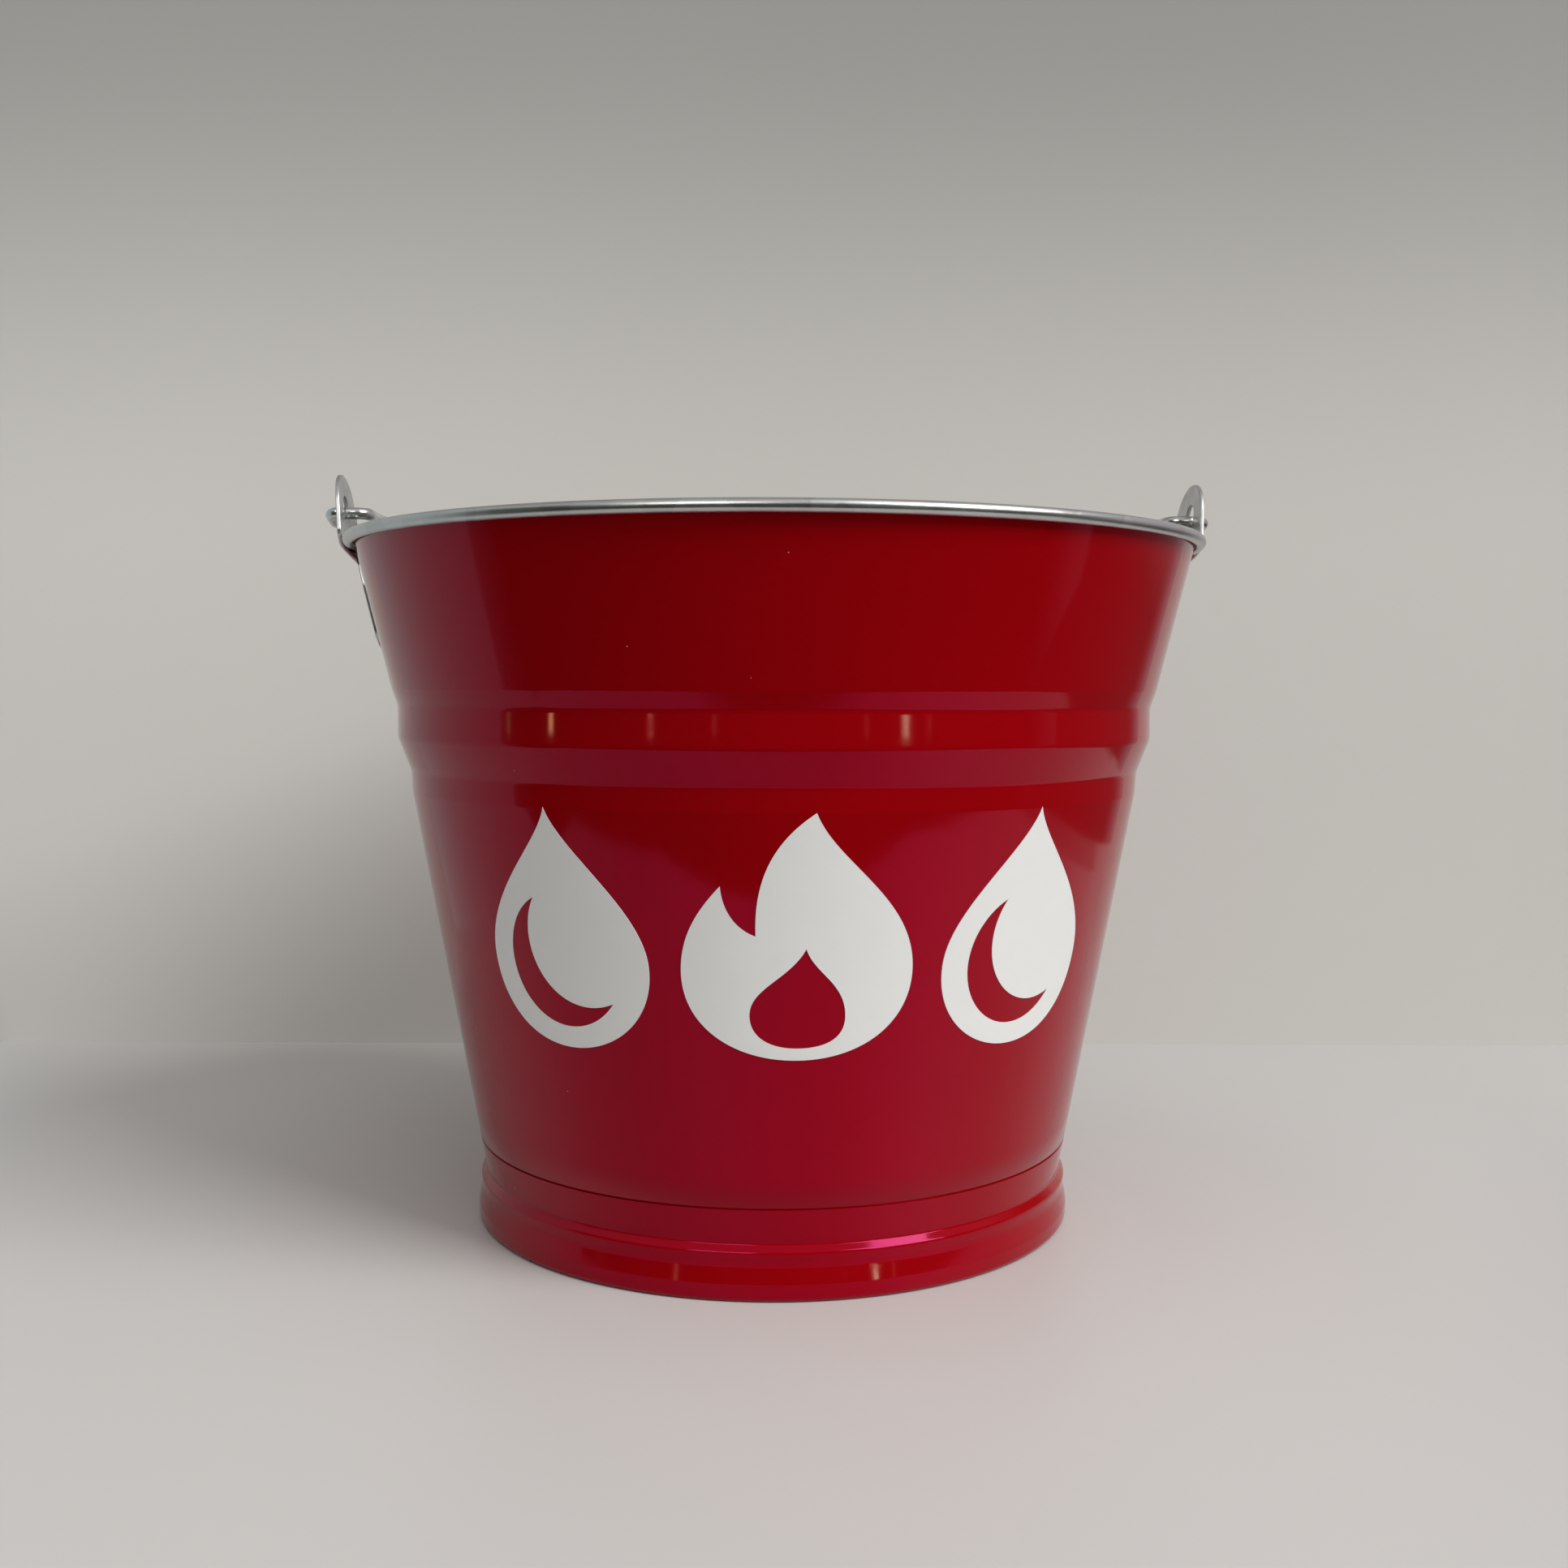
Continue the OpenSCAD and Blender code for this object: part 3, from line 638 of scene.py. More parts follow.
class BUCKET_OT_foot(bpy.types.Operator):
    """Builds the foot ring with its locking ledge, flare and rolled lower edge"""

    bl_idname = "bucket.foot"
    bl_label = "Foot ring"

    def execute(self, context):
        wall = context.scene.bucket_wall
        shape = Bucket(wall)
        hug = beside(shape.hug(0.9 * MM), -shape.tuck)
        roll = shape.bead
        face = shape.neck + shape.tuck + FLARE_OUT
        middle = np.array([face - roll, roll - 0.1 * MM])
        flare = rounded([
            (face, middle[1] + 0.2 * MM, 0), (face, FLARE_TOP, 4 * MM), (*hug[0], 4 * MM),
            (*hug[1], 0),
        ])
        path = np.vstack([arc(middle, roll, 80, 360, 56), flare, hug[2:]])
        outline = sheet_outline(path, wall.sheet, 6 * MM)
        outline[:, 1] = np.maximum(outline[:, 1], 0.0)
        count = context.scene.bucket_stage.segments
        angles = math.pi / 2 + np.linspace(0, 2 * math.pi, count, endpoint=False)
        tones = (np.arange(len(outline)) >= len(outline) // 2).astype(int)
        finishes = [
            bpy.data.materials["glossy_red_paint"],
            bpy.data.materials["galvanised_inside"],
        ]
        made = round_object("foot_sheet", outline, angles, finishes, True, tones)
        ride(made, "bucket", "foot_ring")
        return {"FINISHED"}


class BUCKET_OT_bottom(bpy.types.Operator):
    """Builds the pressed bottom with its flange and raised middle"""

    bl_idname = "bucket.bottom"
    bl_label = "Bottom"

    def execute(self, context):
        wall = context.scene.bucket_wall
        shape = Bucket(wall)
        inset = shape.tuck / math.cos(wall.lower_lean)
        flange = beside(shape.hug(), shape.tuck)[:-1]
        pan = rounded([
            (shape.tucked(FLANGE_LOW) - inset, FLANGE_LOW, 0),
            (shape.tucked(FLOOR_Z) - inset, FLOOR_Z, 2 * MM),
            (76.5 * MM, FLOOR_Z, 2.2 * MM),
            (75.0 * MM, FLOOR_Z + FLOOR_STEP, 2.2 * MM),
            (0, FLOOR_Z + FLOOR_STEP, 0),
        ])
        path = stepped(np.vstack([flange, pan[1:]]), 6 * MM)
        top = beside(path, wall.sheet)[::-1]
        outline = np.vstack([top, path])
        outline[:, 0] = np.maximum(outline[:, 0], 0.0)
        count = context.scene.bucket_stage.segments
        angles = np.linspace(0, 2 * math.pi, count, endpoint=False)
        finishes = [bpy.data.materials["galvanised_inside"]]
        made = round_object("bottom_pan", outline, angles, finishes, False)
        ride(made, "bucket", "bottom_plate")
        wire = plated_finish("rolled_in_wire", wall.zinc, 0.35)
        for name in ("rim_wire", "foot_wire"):
            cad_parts[name].material_slots[0].material = wire
        return {"FINISHED"}


class BUCKET_OT_ears(bpy.types.Operator):
    """Builds the two pressed ears"""

    bl_idname = "bucket.ears"
    bl_label = "Ears"

    def execute(self, context):
        wall, ears = context.scene.bucket_wall, context.scene.bucket_ears
        shape = Bucket(wall)
        hole_z = wall.height + PIVOT_RISE + ears.hole - HINGE_TO_EDGE
        top_z, low_z = hole_z + HEAD_OVER_HOLE, wall.height - EAR_DROP
        finish = plated_finish("satin_zinc_plate", ears.zinc, 0.36)
        # Inner face of an ear as radius at a height
        lean = wall.upper_lean
        foot = np.array([shape.high(low_z) + NEST_GAP / math.cos(lean), low_z])
        outward = np.array([math.cos(JOGGLE_LEAN), -math.sin(JOGGLE_LEAN)])
        touch = shape.bead_at + (shape.bead + 0.1 * MM) * outward
        tab_at = np.array([wall.mouth + TAB_GAP, wall.height])

        def cross(p, a, q, b):
            """Where the line through p at the lean a meets the line through q at the lean b."""
            u, v = (np.array([math.sin(t), math.cos(t)]) for t in (a, b))
            gap = q - p
            return p + u * (gap[0] * v[1] - gap[1] * v[0]) / (u[0] * v[1] - u[1] * v[0])

        low_bend = cross(foot, lean, touch, JOGGLE_LEAN)
        high_bend = cross(tab_at, TAB_LEAN, touch, JOGGLE_LEAN)
        tip = tab_at + (top_z + MM - wall.height) * np.array([math.tan(TAB_LEAN), 1.0])
        section = stepped(rounded([
            (*foot, 0), (*low_bend, 2.5 * MM), (*high_bend, 3.5 * MM), (*tip, 0),
        ], 20), 0.4 * MM)
        slope = np.gradient(section[:, 0], section[:, 1])

        # Outline of an ear as half widths and heights, from its foot up to its top
        neck_z = low_bend[1] + MM
        wing_z = wall.height + MM
        drop = top_z - HEAD_RADIUS - wing_z
        start = math.acos(HEAD_RADIUS / math.hypot(WING, drop)) - math.atan2(drop, WING)
        head = arc((0, top_z - HEAD_RADIUS), HEAD_RADIUS, math.degrees(start), 90, 40)
        side = np.vstack([rounded([
            (0, low_z, 0), (BASE, low_z, 7 * MM), (BASE, neck_z - 8 * MM, 6 * MM),
            (NECK, neck_z, 3 * MM), (WING, wing_z, 3 * MM), (*head[0], 0),
        ], 16), head[1:]])
        side[-1, 0] = 0
        side = stepped(side, 0.5 * MM)
        loop = np.vstack([side[::-1] * (-1, 1), side[1:-1]])
        ahead = np.roll(loop, -1, axis=0) - np.roll(loop, 1, axis=0)
        ahead /= np.linalg.norm(ahead, axis=1, keepdims=True)
        out = np.stack([ahead[:, 1], -ahead[:, 0]], axis=1)
        around = np.maximum.accumulate(np.arctan2(loop[:, 0], hole_z - loop[:, 1]))
        around[0] = -math.pi
        around = 0.7 * around + 0.3 * np.linspace(-math.pi, math.pi, len(loop) + 1)[:-1]
        ray = np.stack([np.sin(around), -np.cos(around)], axis=1)

        # Loop across the plate: inner face, rounded outer edge, outer face, rounded hole edge
        t, edge = ears.plate, ears.edge
        quarter = np.linspace(0, math.pi / 2, 7)[:, None, None]
        rise, fall = np.sin(quarter), np.cos(quarter)
        near = np.array([0, hole_z]) + (ears.hole + edge) * ray
        far = loop - edge * out
        spread = np.linspace(0, 1, 60)[:, None, None]
        face = near + (far - near) * spread
        flat = 0 * face[..., :1]
        parts = [
            (face, flat),
            (far + edge * rise[1:] * out, edge * (1 - fall[1:]) + flat[:1]),
            (far + edge * fall * out, t - edge + edge * rise + flat[:1]),
            (face[::-1][1:], t + flat[1:]),
            (near - edge * rise[1:] * ray, t - edge * (1 - fall[1:]) + flat[:1]),
            (near - edge * fall[:-1] * ray, edge * (1 - rise[:-1]) + flat[:1]),
        ]
        place = np.concatenate([part[0] for part in parts])
        depth = np.concatenate([part[1] for part in parts])[..., 0]
        a, h = place[..., 0], place[..., 1]
        radius = np.interp(h, section[:, 1], section[:, 0])
        lean_at = np.interp(h, section[:, 1], slope)
        x = np.sqrt(radius**2 - a**2)
        normal = np.stack([np.ones_like(x), a / x, -radius * lean_at / x], axis=2)
        normal /= np.linalg.norm(normal, axis=2, keepdims=True)
        points = np.stack([x, a, h], axis=2) + normal * depth[..., None]
        spans = run(np.vstack([loop, loop[:1]]))
        lengths = np.linspace(0, 60 * MM, len(points) + 1)
        for name, sign in (("ear_left", -1), ("ear_right", 1)):
            placed = points * np.array([sign, sign, 1.0])
            made = skin(name + "_plate", placed, spans, lengths, (True, True), [finish])
            ride(made, "bucket", name)
        return {"FINISHED"}


class BUCKET_OT_rivets(bpy.types.Operator):
    """Builds the rivets that hold the ears"""

    bl_idname = "bucket.rivets"
    bl_label = "Rivets"

    def execute(self, context):
        wall, ears = context.scene.bucket_wall, context.scene.bucket_ears
        shape = Bucket(wall)
        head_z, tail_z = 0.1 * MM + ears.plate, -wall.sheet - 0.15 * MM
        finish = plated_finish("rivet_zinc", ears.zinc, 0.30)

        def dome(base, wide, high, way):
            """Points from the rim of a low dome to its top: a slice of a ball whose radius is
            half the sum of the rim's radius squared and the height squared, over the height."""
            ball = (wide * wide + high * high) / (2 * high)
            t = np.linspace(math.asin(min(1.0, wide / ball)), 0, 14)
            rise = ball * np.cos(t) - ball + high
            return np.stack([ball * np.sin(t), base + way * rise], axis=1)

        shank = 2 * MM
        head, tail = dome(head_z, 3.5 * MM, 1.2 * MM, 1), dome(tail_z, 3.3 * MM, 1.4 * MM, -1)
        outline = np.vstack([tail[::-1], [[shank, tail_z], [shank, head_z]], head])
        angles = np.linspace(0, 2 * math.pi, 48, endpoint=False)
        local = turned(outline, angles)
        lengths = run(outline)
        spans = np.linspace(0, 2 * math.pi * 4 * MM, 49)
        for name, sign in (("rivets_left", -1), ("rivets_right", 1)):
            for level, k in (("lower", -1), ("upper", 1)):
                z = wall.height - RIVET_DROP + k * RIVET_PITCH / 2
                place = (
                    Matrix.Rotation(0 if sign > 0 else math.pi, 4, "Z")
                    @ Matrix.Translation((shape.high(z), 0, z))
                    @ Matrix.Rotation(math.pi / 2 + wall.upper_lean, 4, "Y")
                )
                placed = carried(local, np.array(place))
                made = skin(f"{name}_{level}", placed, spans, lengths, (False, True), [finish])
                ride(made, "bucket", name)
        return {"FINISHED"}


def bail_frame(wall):
    """Moves a point of the flat bail to its rest place: the pivot's height, tilted to the rim."""
    shape = Bucket(wall)
    pivot_z = wall.height + PIVOT_RISE
    crown_y = shape.bead_at[0] - CROWN_INSET
    grip_z = wall.height + GRIP_REST + GRIP_GAP
    tilt = math.asin((pivot_z - grip_z) / crown_y)
    place = Matrix.Translation((0, 0, pivot_z)) @ Matrix.Rotation(-tilt, 4, "X")
    return crown_y, np.array(place)


class BUCKET_OT_bail(bpy.types.Operator):
    """Builds the wire bail as one round section carried along its line"""

    bl_idname = "bucket.bail"
    bl_label = "Bail"

    def execute(self, context):
        wall, ears, bail = (
            context.scene.bucket_wall, context.scene.bucket_ears, context.scene.bucket_bail,
        )
        crown_y, place = bail_frame(wall)
        # One half of the wire, lying flat: crown, hoop, leg and hook
        inner = wall.mouth + TAB_GAP
        leg = inner + PIVOT_RISE * math.tan(TAB_LEAN) - LEG_GAP - bail.wire
        top = PIVOT_RISE + ears.hole - HINGE_TO_EDGE + HEAD_OVER_HOLE
        outer = inner + top * math.tan(TAB_LEAN) + ears.plate / math.cos(TAB_LEAN)
        hook_x = outer + HOOK_GAP + bail.wire - HOOK_BEND
        turn_to = math.degrees(math.acos(CROWN_HALF / (leg - CROWN_BEND)))
        hoop_y = crown_y - CROWN_BEND - (leg - CROWN_BEND) * math.sin(math.radians(turn_to))
        flat = stepped(np.vstack([
            [[0, crown_y]],
            arc((CROWN_HALF, crown_y - CROWN_BEND), CROWN_BEND, 90, turn_to, 16),
            arc((0, hoop_y), leg, turn_to, 0, 90)[1:],
            arc((leg + LEG_BEND, LEG_BEND), LEG_BEND, 180, 270, 16),
            [[hook_x, 0]],
        ]), 2.5 * MM)
        hook = stepped(np.vstack([
            arc((0, HOOK_BEND), HOOK_BEND, -90, 0, 12)[1:], [[HOOK_BEND, HOOK_BEND + HOOK_LENGTH]],
        ]), 0.7 * MM)
        down, on = math.sin(HOOK_DROOP), math.cos(HOOK_DROOP)
        line = np.vstack([
            np.column_stack([flat, np.zeros(len(flat))]),
            np.column_stack([hook_x + hook[:, 0], hook[:, 1] * on, hook[:, 1] * down]),
        ])
        up = np.zeros_like(line)
        up[:, 2] = 1
        up[len(flat):] = (0, -down, on)
        mirror = np.array([-1.0, 1.0, 1.0])
        line = np.vstack([line[::-1] * mirror, line[1:]])
        up = np.vstack([up[::-1] * mirror, up[1:]])
        ahead = np.gradient(line, axis=0)
        ahead /= np.linalg.norm(ahead, axis=1, keepdims=True)
        side = np.cross(ahead, up)
        side /= np.linalg.norm(side, axis=1, keepdims=True)
        up = np.cross(side, ahead)
        lengths = run(line)
        # Each cut end is rounded over by a quarter ellipse: at a share of the way in from the
        # tip, the section's size is the sine of the angle whose cosine is what is left
        ease, shares = 0.8 * MM, np.linspace(0, 1, 9)[:-1]
        caps = np.sin(np.arccos(1 - shares))[:, None, None]
        beyond = (ease * (1 - shares))[:, None, None]
        section = np.linspace(0, 2 * math.pi, 28, endpoint=False)[None, :, None]
        ring = (np.cos(section) * side[:, None] + np.sin(section) * up[:, None]) * bail.wire
        start = line[0] + ring[0] * caps - ahead[0] * beyond
        end = line[-1] + ring[-1] * caps[::-1] + ahead[-1] * beyond[::-1]
        points = carried(np.concatenate([start, line[:, None] + ring, end]), place)
        spans = np.linspace(0, 2 * math.pi * bail.wire, 29)
        ends = ease * shares
        lengths = np.concatenate([ends, ease + lengths, 2 * ease + lengths[-1] - ends[::-1]])
        finish = wire_finish("bright_drawn_wire", bail.zinc)
        made = skin("bail_wire", points, spans, lengths, (False, True), [finish])
        ride(made, "bail", "bail")
        return {"FINISHED"}


class BUCKET_OT_grip(bpy.types.Operator):
    """Builds the turned grip with its bore, rounded ends and lathe grooves"""

    bl_idname = "bucket.grip"
    bl_label = "Grip"

    def execute(self, context):
        wall, grip, bail = (
            context.scene.bucket_wall, context.scene.bucket_grip, context.scene.bucket_bail,
        )
        crown_y, place = bail_frame(wall)
        half, ease, bore = GRIP_HALF, GRIP_EASE, bail.wire + GRIP_GAP
        x = np.linspace(-half + ease, half - ease, 261)
        f = x / (half - ease)
        radius = grip.end_radius + (grip.radius - grip.end_radius) * (1 - f * f)
        for at in (-half + 9 * MM, -half + 11.4 * MM, half - 11.4 * MM, half - 9 * MM):
            radius = radius - grip.groove * np.exp(-(((x - at) / (0.55 * MM)) ** 2))
        ends = grip.end_radius - ease
        outline = np.vstack([
            [[bore, half]],
            arc((ends, half - ease), ease, 90, 0, 10),
            np.stack([radius, x], axis=1)[::-1][1:-1],
            arc((ends, ease - half), ease, 0, -90, 10),
            [[bore, -half]],
        ])[::-1]
        hollow = stepped(np.array([[bore, half], [bore, -half]]), 4 * MM)[1:-1]
        outline = np.vstack([stepped(outline, 1.5 * MM), hollow])
        angles = np.linspace(0, 2 * math.pi, 96, endpoint=False)
        points = carried(turned(outline, angles)[..., [2, 0, 1]] + (0, crown_y, 0), place)
        spans = np.linspace(0, 2 * math.pi * grip.radius, 97)
        lengths = run(np.vstack([outline, outline[:1]]))
        made = skin("grip_wood", points, spans, lengths, (True, True), [wood_finish(grip)])
        ride(made, "grip", "grip")
        return {"FINISHED"}


def drop_outline():
    """A falling drop, 1 high, and the crescent of light left out of it."""
    half = np.vstack([
        cubic([(0, 1), (0.05, 0.84), (0.4, 0.62), (0.4, 0.37)]),
        cubic([(0.4, 0.37), (0.4, 0.15), (0.22, 0), (0, 0)]),
    ])
    outer = np.vstack([half, [[0, 0]], half[::-1][:-1] * (-1, 1)])
    # The crescent lies in one circle and outside another, which cross at two points
    a, b, r = np.array([0, 0.37]), np.array([0.11, 0.46]), 0.28
    gap = b - a
    way = math.degrees(math.atan2(gap[1], gap[0]))
    open_by = math.degrees(math.acos(float(np.linalg.norm(gap)) / 2 / r))
    long_side = arc(a, r, way + open_by, way + 360 - open_by, 60)
    short_side = arc(b, r, way + 180 + open_by, way + 180 - open_by, 40)
    return outer, np.vstack([long_side, short_side[1:-1]])


def flame_outline():
    """A flame, 1 high, and the tongue left out of its middle."""
    outer = np.vstack([
        cubic([(0.06, 1), (0.14, 0.8), (0.46, 0.66), (0.46, 0.37)]),
        cubic([(0.46, 0.37), (0.46, 0.14), (0.26, 0), (0, 0)]),
        cubic([(0, 0), (-0.26, 0), (-0.46, 0.14), (-0.46, 0.37)]),
        cubic([(-0.46, 0.37), (-0.46, 0.51), (-0.4, 0.61), (-0.31, 0.71)]),
        cubic([(-0.31, 0.71), (-0.3, 0.61), (-0.25, 0.54), (-0.17, 0.51)]),
        cubic([(-0.17, 0.51), (-0.18, 0.72), (-0.12, 0.88), (0.06, 1)]),
    ])
    tongue = np.vstack([
        cubic([(0.03, 0.46), (0.06, 0.36), (0.19, 0.32), (0.19, 0.18)]),
        cubic([(0.19, 0.18), (0.19, 0.08), (0.1, 0.05), (0, 0.05)]),
        cubic([(0, 0.05), (-0.1, 0.05), (-0.19, 0.09), (-0.19, 0.19)]),
        cubic([(-0.19, 0.19), (-0.19, 0.3), (-0.03, 0.34), (0.03, 0.46)]),
    ])
    return outer, tongue


def film_sheet(loops, high, pitch):
    """Triangles that fill the first loop outside the second, with a grid of points inside."""
    loops = [loop * high for loop in loops]
    low, top = loops[0].min(0), loops[0].max(0)
    x, y = np.meshgrid(np.arange(low[0], top[0], pitch), np.arange(low[1], top[1], pitch))
    spots = np.stack([x.ravel(), y.ravel()], axis=1) + pitch / 2
    rims = np.vstack(loops)
    apart = np.linalg.norm(spots[:, None] - rims[None], axis=2).min(axis=1)
    clear = apart > pitch * 0.55
    points = np.vstack([rims, spots[clear]])
    edges, base = [], 0
    for loop in loops:
        around = base + np.arange(len(loop))
        edges += np.stack([around, np.roll(around, -1)], axis=1).tolist()
        base += len(loop)
    verts, _, faces, *_ = delaunay_2d_cdt([Vector(p) for p in points], edges, [], 0, 1e-9)
    flat = np.array([tuple(v) for v in verts])
    faces = np.array([list(f) for f in faces if len(f) == 3])
    middle = flat[faces].mean(axis=1)
    kept = faces[within(middle, loops[0]) & ~within(middle, loops[1])]
    used, index = np.unique(kept, return_inverse=True)
    return flat[used], index.reshape(-1, 3)


def within(points, loop):
    """Whether each point lies inside a loop: an odd number of sides cross a line to its right."""
    a, b = loop[None], np.roll(loop, -1, axis=0)[None]
    x, y = points[:, 0][:, None], points[:, 1][:, None]
    spans = (a[..., 1] > y) != (b[..., 1] > y)
    rise = np.where(a[..., 1] == b[..., 1], 1.0, b[..., 1] - a[..., 1])
    at = a[..., 0] + (y - a[..., 1]) * (b[..., 0] - a[..., 0]) / rise
    return (spans & (x < at)).sum(axis=1) % 2 == 1


class BUCKET_OT_marks(bpy.types.Operator):
    """Builds the three cut film marks on the front"""

    bl_idname = "bucket.marks"
    bl_label = "Marks"

    def execute(self, context):
        wall, marks = context.scene.bucket_wall, context.scene.bucket_marks
        shape = Bucket(wall)
        finish = film_finish(marks)
        sets = (
            ("mark_left", drop_outline(), -1), ("mark_centre", flame_outline(), 0),
            ("mark_right", drop_outline(), 1),
        )
        for name, loops, k in sets:
            flat, faces = film_sheet(loops, marks.height, 1.6 * MM)
            z = marks.middle - marks.height / 2 + flat[:, 1]
            depths, side, ahead = [], math.sin(k * marks.step), math.cos(k * marks.step)
            for over in (0.03 * MM, 0.03 * MM + marks.film):
                r = shape.low(z) + over / math.cos(wall.lower_lean)
                x, y = flat[:, 0], -np.sqrt(r**2 - flat[:, 0] ** 2)
                depths.append(np.stack([x * ahead - y * side, x * side + y * ahead, z], axis=1))
            count = len(flat)
            inner, outer = depths
            directed = np.concatenate([faces[:, [0, 1]], faces[:, [1, 2]], faces[:, [2, 0]]])
            keys = set(map(tuple, directed.tolist()))
            rim = np.array([e for e in keys if (e[1], e[0]) not in keys])
            walls = np.stack([rim[:, 1], rim[:, 0], rim[:, 0] + count, rim[:, 1] + count], axis=1)
            mesh = bpy.data.meshes.new(name + "_film")
            mesh.from_pydata(
                np.vstack([inner, outer]).tolist(), [],
                faces[:, ::-1].tolist() + (faces + count).tolist() + walls.tolist(),
            )
            mesh.materials.append(finish)
            made = finished(name + "_film", mesh)
            ride(made, "bucket", name)
        return {"FINISHED"}


# ------------------------------------------------------------ stage


def sheet_of(name, corners, material):
    """A flat sheet of the stage through its corners."""
    mesh = bpy.data.meshes.new(name)
    mesh.from_pydata([tuple(c) for c in corners], [], [tuple(range(len(corners)))])
    mesh.materials.append(material)
    made = bpy.data.objects.new(name, mesh)
    bpy.context.scene.collection.objects.link(made)
    return made


def toward(azimuth, rise):
    """Unit direction at an angle from straight before the bucket, and above the floor."""
    azimuth, rise = math.radians(azimuth), math.radians(rise)
    return Vector((
        math.sin(azimuth) * math.cos(rise), -math.cos(azimuth) * math.cos(rise), math.sin(rise),
    ))


def seen_by(piece, camera=False, glossy=False, shadow=False):
    """Hides a piece from matt faces, and from what isn't named."""
    piece.visible_camera = camera
    piece.visible_diffuse = False
    piece.visible_glossy = glossy
    piece.visible_shadow = shadow
    piece.visible_transmission = glossy


def matte(name, tone, rough=0.6, one_sided=False, painted_top_shade=0.0, painted_side_shade=0.0):
    """Stage paint, seen only from its front where one_sided is set; the last two arguments are
    the shares of its tone lost from low to high and from left to right, as painted shade."""
    made = Finish(name, roughness=rough)
    place = made.place()
    plain = mix(made.noise(place, 6.0, 3.0), rgba(tone, 0.97), rgba(tone))
    across, _, height = node(made.tree, "ShaderNodeSeparateXYZ", None, {0: place})
    # Painted shade: the tone is darkened towards the top and towards the right
    left = (1 - height.between(0.24, 0.54) * painted_top_shade) * (1 - across.between(-0.4, 0.4) * painted_side_shade)
    made.feed("Base Color", mix(1 - left, plain, rgba((0.0, 0.0, 0.0))))
    if one_sided:
        tree = made.tree
        back = node(tree, "ShaderNodeNewGeometry")[6]
        clear = node(tree, "ShaderNodeBsdfTransparent")[0]
        out = tree.nodes["Material Output"]
        both = node(tree, "ShaderNodeMixShader", None, {
            0: back, 1: Tap(tree, made.shader.outputs[0]), 2: clear,
        })[0]
        tree.links.new(both.socket, out.inputs["Surface"])
    return made.material


def glow(name, tone, strength, part=1.0):
    """A shining face that keeps only a part of its light low down at its front end."""
    made = bpy.data.materials.new(name)
    made.use_nodes = True
    tree = made.node_tree
    tree.nodes.remove(tree.nodes["Principled BSDF"])
    shine = rgba(tone)
    if part < 1:
        place = node(tree, "ShaderNodeTexCoord")[3]
        _, back, height = node(tree, "ShaderNodeSeparateXYZ", None, {0: place})
        dim = (1 - back.between(0.12, 0.25)) * (1 - height.between(0.16, 0.26))
        shine = mix(dim, shine, rgba(tone, part))
    light = node(tree, "ShaderNodeEmission", None, {0: shine, 1: strength})[0]
    tree.links.new(light.socket, tree.nodes["Material Output"].inputs["Surface"])
    return made


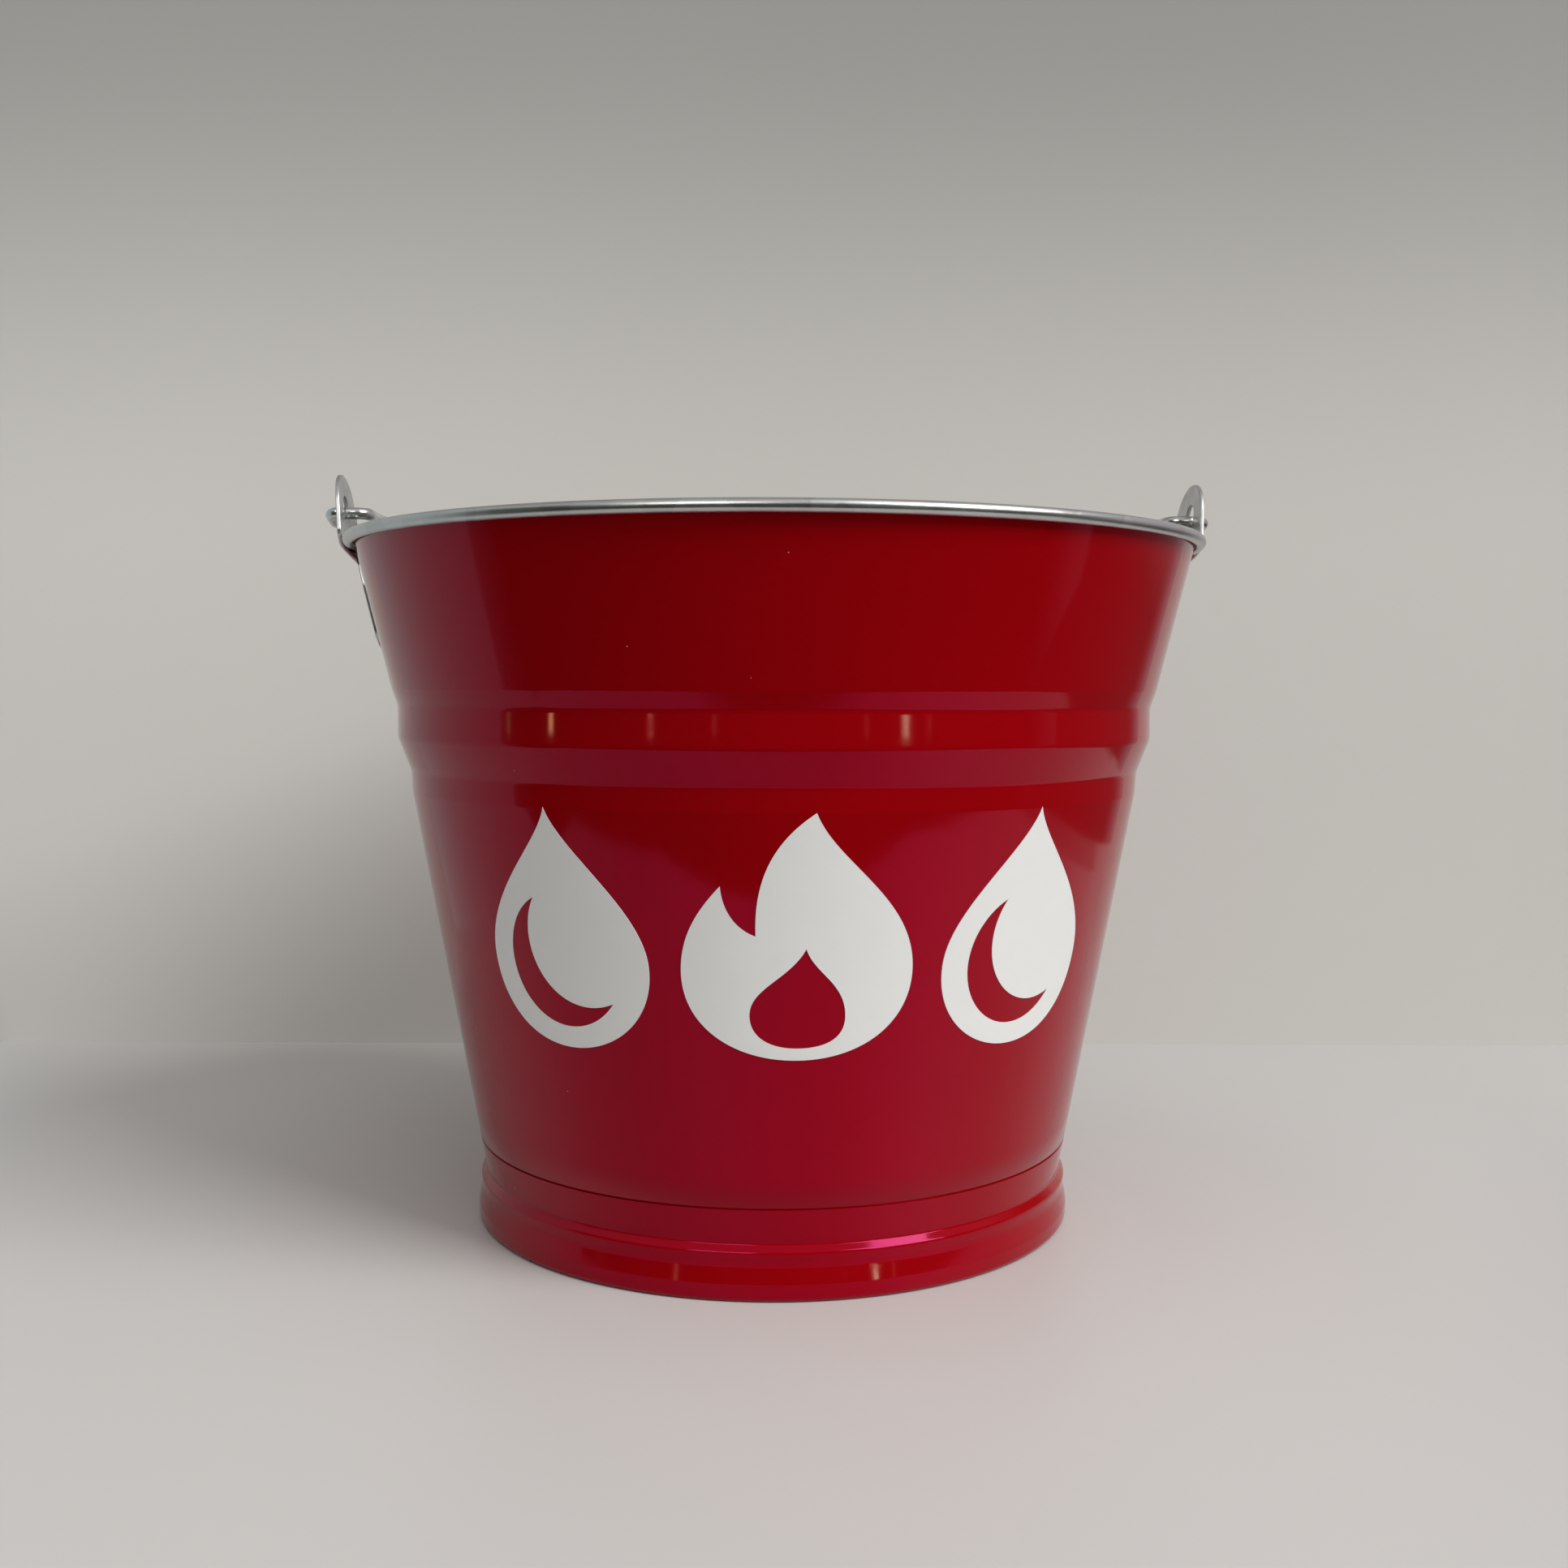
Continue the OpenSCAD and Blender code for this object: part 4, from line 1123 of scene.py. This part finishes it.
class BUCKET_OT_stage(bpy.types.Operator):
    """Builds the floor, the backdrop, the light and the camera"""

    bl_idname = "bucket.stage"
    bl_label = "Stage"

    def execute(self, context):
        scene, stage = context.scene, context.scene.bucket_stage
        turned_by = Matrix.Rotation(SPIN, 3, "Z")

        def at(*points):
            return [turned_by @ Vector(p) for p in points]

        # Floor: the shelf that the bucket stands on is seen by everything, the rest of the floor
        # a hair below it only by the camera
        left, right, back_y, front_y = -0.388, 0.372, 0.249, -0.345
        # Painted shade: the floor's tone is a little darker towards the right
        floor = matte("pale_floor", stage.floor, 0.45, painted_side_shade=0.08)
        sheet_of("shelf", at(
            (left, -0.262, 0), (-0.2, front_y, 0), (0.25, front_y, 0), (0.42, -0.265, 0),
            (0.5, -0.2, 0), (0.5, back_y, 0), (left, back_y, 0),
        ), floor)
        wide, low = 6.0, -0.01 * MM
        rest = sheet_of("floor", at(
            (-wide, -wide, low), (wide, -wide, low), (wide, wide, low), (-wide, wide, low),
        ), floor)
        seen_by(rest, camera=True, shadow=True)
        # Painted shade: the backdrop's tone darkens towards the top, as under a shelf above, and
        # towards the right
        wall = matte("pale_wall", stage.wall, 0.7, one_sided=True, painted_top_shade=0.5, painted_side_shade=0.2)
        back = sheet_of("backdrop", at(
            (-3, back_y, 0), (3, back_y, 0), (3, back_y, 3), (-3, back_y, 3),
        ), wall)
        seen_by(back, camera=True, glossy=True)
        card = sheet_of("card_left", at(
            (left, -0.18, 0), (left, back_y, 0), (left, back_y, 0.6), (left, -0.126, 0.6),
            (left, -0.126, 0.05),
        ), glow("card_left", (0.92, 1.0, 1.0), 0.5))
        seen_by(card, glossy=True)
        card = sheet_of("card_right", at(
            (right, -0.18, 0.055), (right, -0.105, 0.14), (right, -0.097, 0.6),
            (right, back_y, 0.6), (right, back_y, 0.055),
        ), glow("card_right", (1.0, 0.9, 0.95), 0.45, 0.15))
        seen_by(card, glossy=True)

        def patch(name, azimuth, rise, across, high, tone, strength, distance=3.0):
            """A glowing card far before the bucket that only mirror-like faces see."""
            way = turned_by @ toward(azimuth, rise)
            side = way.cross(Vector((0, 0, 1))).normalized() * across / 2
            up = side.cross(way).normalized() * high / 2
            middle = way * distance + Vector((0, 0, 0.12))
            corners = [middle + a * side + b * up for a, b in ((-1, -1), (1, -1), (1, 1), (-1, 1))]
            seen_by(sheet_of(name, corners, glow(name, tone, strength)), glossy=True)

        # Lamps that the upright band mirrors as small glints: azimuth, rise, width, height,
        # tone and strength. Their green makes up for the red tint of the paint's mirror image
        warm, lime, pale = (0.40, 1.0, 0.20), (0.14, 1.0, 0.18), (1.0, 0.98, 0.92)
        lamps = (
            (-80.5, -0.6, 0.05, 0.03, warm, 4), (-65.1, -0.46, 0.07, 0.045, warm, 24),
            (-34.3, 0.0, 0.06, 0.014, warm, 28), (-34.3, -0.97, 0.06, 0.014, warm, 28),
            (-16.3, -0.6, 0.05, 0.02, warm, 10), (25.3, -0.6, 0.05, 0.02, warm, 10),
            (36.6, -0.16, 0.07, 0.018, lime, 140), (36.6, -0.83, 0.07, 0.018, lime, 140),
            (43.5, -0.6, 0.04, 0.02, warm, 10),
        )
        for i, (azimuth, rise, across, high, tone, strength) in enumerate(lamps):
            patch(f"lamp_{i}", azimuth, rise, across, high, tone, strength)
        for i, azimuth in enumerate((-26.5, -13.5)):
            patch(f"window_{i}", azimuth, 32, 0.56, 1.1, pale, 5)

        def area(name, azimuth, rise, distance, size, level, tone, glossy):
            """A square light that gives a face turned to it about the given level."""
            way = turned_by @ toward(azimuth, rise)
            lamp = bpy.data.lights.new(name, "AREA")
            lamp.shape = "RECTANGLE"
            lamp.size, lamp.size_y = size, size
            lamp.energy = level * math.pi**2 * distance**2
            lamp.color = tone
            made = bpy.data.objects.new(name, lamp)
            made.location = way * distance + Vector((0, 0, 0.12))
            made.rotation_euler = (-way).to_track_quat("-Z", "Y").to_euler()
            made.visible_glossy = glossy
            scene.collection.objects.link(made)

        area("key", 55, 40, 4.0, 2.0, stage.key, (1.0, 0.985, 0.96), True)
        area("front", 15, 35, 2.0, 1.2, stage.front, (1.0, 0.99, 0.97), False)
        area("top", 0, 72, 2.5, 2.0, stage.top, (1.0, 0.99, 0.97), False)

        # World: pale to the camera, a soft fill to matt faces, and a dark room before the bucket
        world = bpy.data.worlds.new("room")
        scene.world = world
        world.use_nodes = True
        tree = world.node_tree
        for old in list(tree.nodes):
            tree.nodes.remove(old)
        rays = node(tree, "ShaderNodeLightPath")
        is_camera, is_glossy = rays[0], rays[3]
        view = node(tree, "ShaderNodeTexCoord")[0]
        facing = {0: view, 1: tuple(turned_by @ Vector((0, -1, 0)))}
        ahead = node(tree, "ShaderNodeVectorMath", {"operation": "DOT_PRODUCT"}, facing)[1]
        height = node(tree, "ShaderNodeSeparateXYZ", None, {0: view})[2]
        ceiling = height.between(0.50, 0.66)
        dark = ahead.between(-0.05, 0.25) * (1 - ceiling)
        glossy = 0.30 * (1 - dark) + ceiling * 0.22 + 0.012
        unseen = is_glossy * glossy + (1 - is_glossy) * stage.fill
        level = is_camera * 0.56 + (1 - is_camera) * unseen
        shade = node(tree, "ShaderNodeBackground", None, {0: rgba((1.0, 0.99, 0.97)), 1: level})[0]
        out = tree.nodes.new("ShaderNodeOutputWorld")
        tree.links.new(shade.socket, out.inputs["Surface"])

        # Camera at the place, turn and lens that were worked out from the outlines
        pitch, yaw, roll = 0.06029, 0.005965, -0.003643
        ahead = Vector((
            math.sin(yaw) * math.cos(pitch), math.cos(yaw) * math.cos(pitch), -math.sin(pitch),
        ))
        right = Vector((math.cos(yaw), -math.sin(yaw), 0))
        down = ahead.cross(right)
        across = math.cos(roll) * right + math.sin(roll) * down
        down = -math.sin(roll) * right + math.cos(roll) * down
        lens = bpy.data.cameras.new("camera")
        lens.sensor_width = 36
        lens.lens = stage.lens
        camera = bpy.data.objects.new("camera", lens)
        columns = [turned_by @ across, turned_by @ -down, turned_by @ -ahead]
        place = Matrix.Translation(turned_by @ Vector((0, -0.5766, 0.1814)))
        camera.matrix_world = place @ Matrix(columns).transposed().to_4x4()
        scene.collection.objects.link(camera)
        scene.camera = camera
        scene.view_settings.view_transform = "Standard"
        return {"FINISHED"}


class BUCKET_PT_panel(bpy.types.Panel):
    """Lists the pieces and their sizes"""

    bl_idname = "BUCKET_PT_panel"
    bl_label = "Fire bucket"
    bl_space_type = "VIEW_3D"
    bl_region_type = "UI"
    bl_category = "Bucket"

    def draw(self, context):
        for operator, group in STEPS:
            box = self.layout.box()
            box.operator("bucket." + operator)
            settings = getattr(context.scene, "bucket_" + group)
            for name in settings.__annotations__:
                box.prop(settings, name)


GROUPS = {
    "wall": WallSettings, "ears": EarSettings, "bail": BailSettings, "grip": GripSettings,
    "marks": MarkSettings, "stage": StageSettings,
}
STEPS = (
    ("wall", "wall"), ("foot", "wall"), ("bottom", "wall"), ("ears", "ears"), ("rivets", "ears"),
    ("bail", "bail"), ("grip", "grip"), ("marks", "marks"), ("stage", "stage"),
)
CLASSES = (
    *GROUPS.values(),
    BUCKET_OT_wall, BUCKET_OT_foot, BUCKET_OT_bottom, BUCKET_OT_ears, BUCKET_OT_rivets,
    BUCKET_OT_bail, BUCKET_OT_grip, BUCKET_OT_marks, BUCKET_OT_stage, BUCKET_PT_panel,
)


def register():
    for cls in CLASSES:
        bpy.utils.register_class(cls)
    for name, group in GROUPS.items():
        setattr(bpy.types.Scene, "bucket_" + name, PointerProperty(type=group))


def unregister():
    for name in GROUPS:
        delattr(bpy.types.Scene, "bucket_" + name)
    for cls in reversed(CLASSES):
        bpy.utils.unregister_class(cls)


def main():
    register()
    for operator, _ in STEPS:
        getattr(bpy.ops.bucket, operator)()


if __name__ == "__main__":
    main()
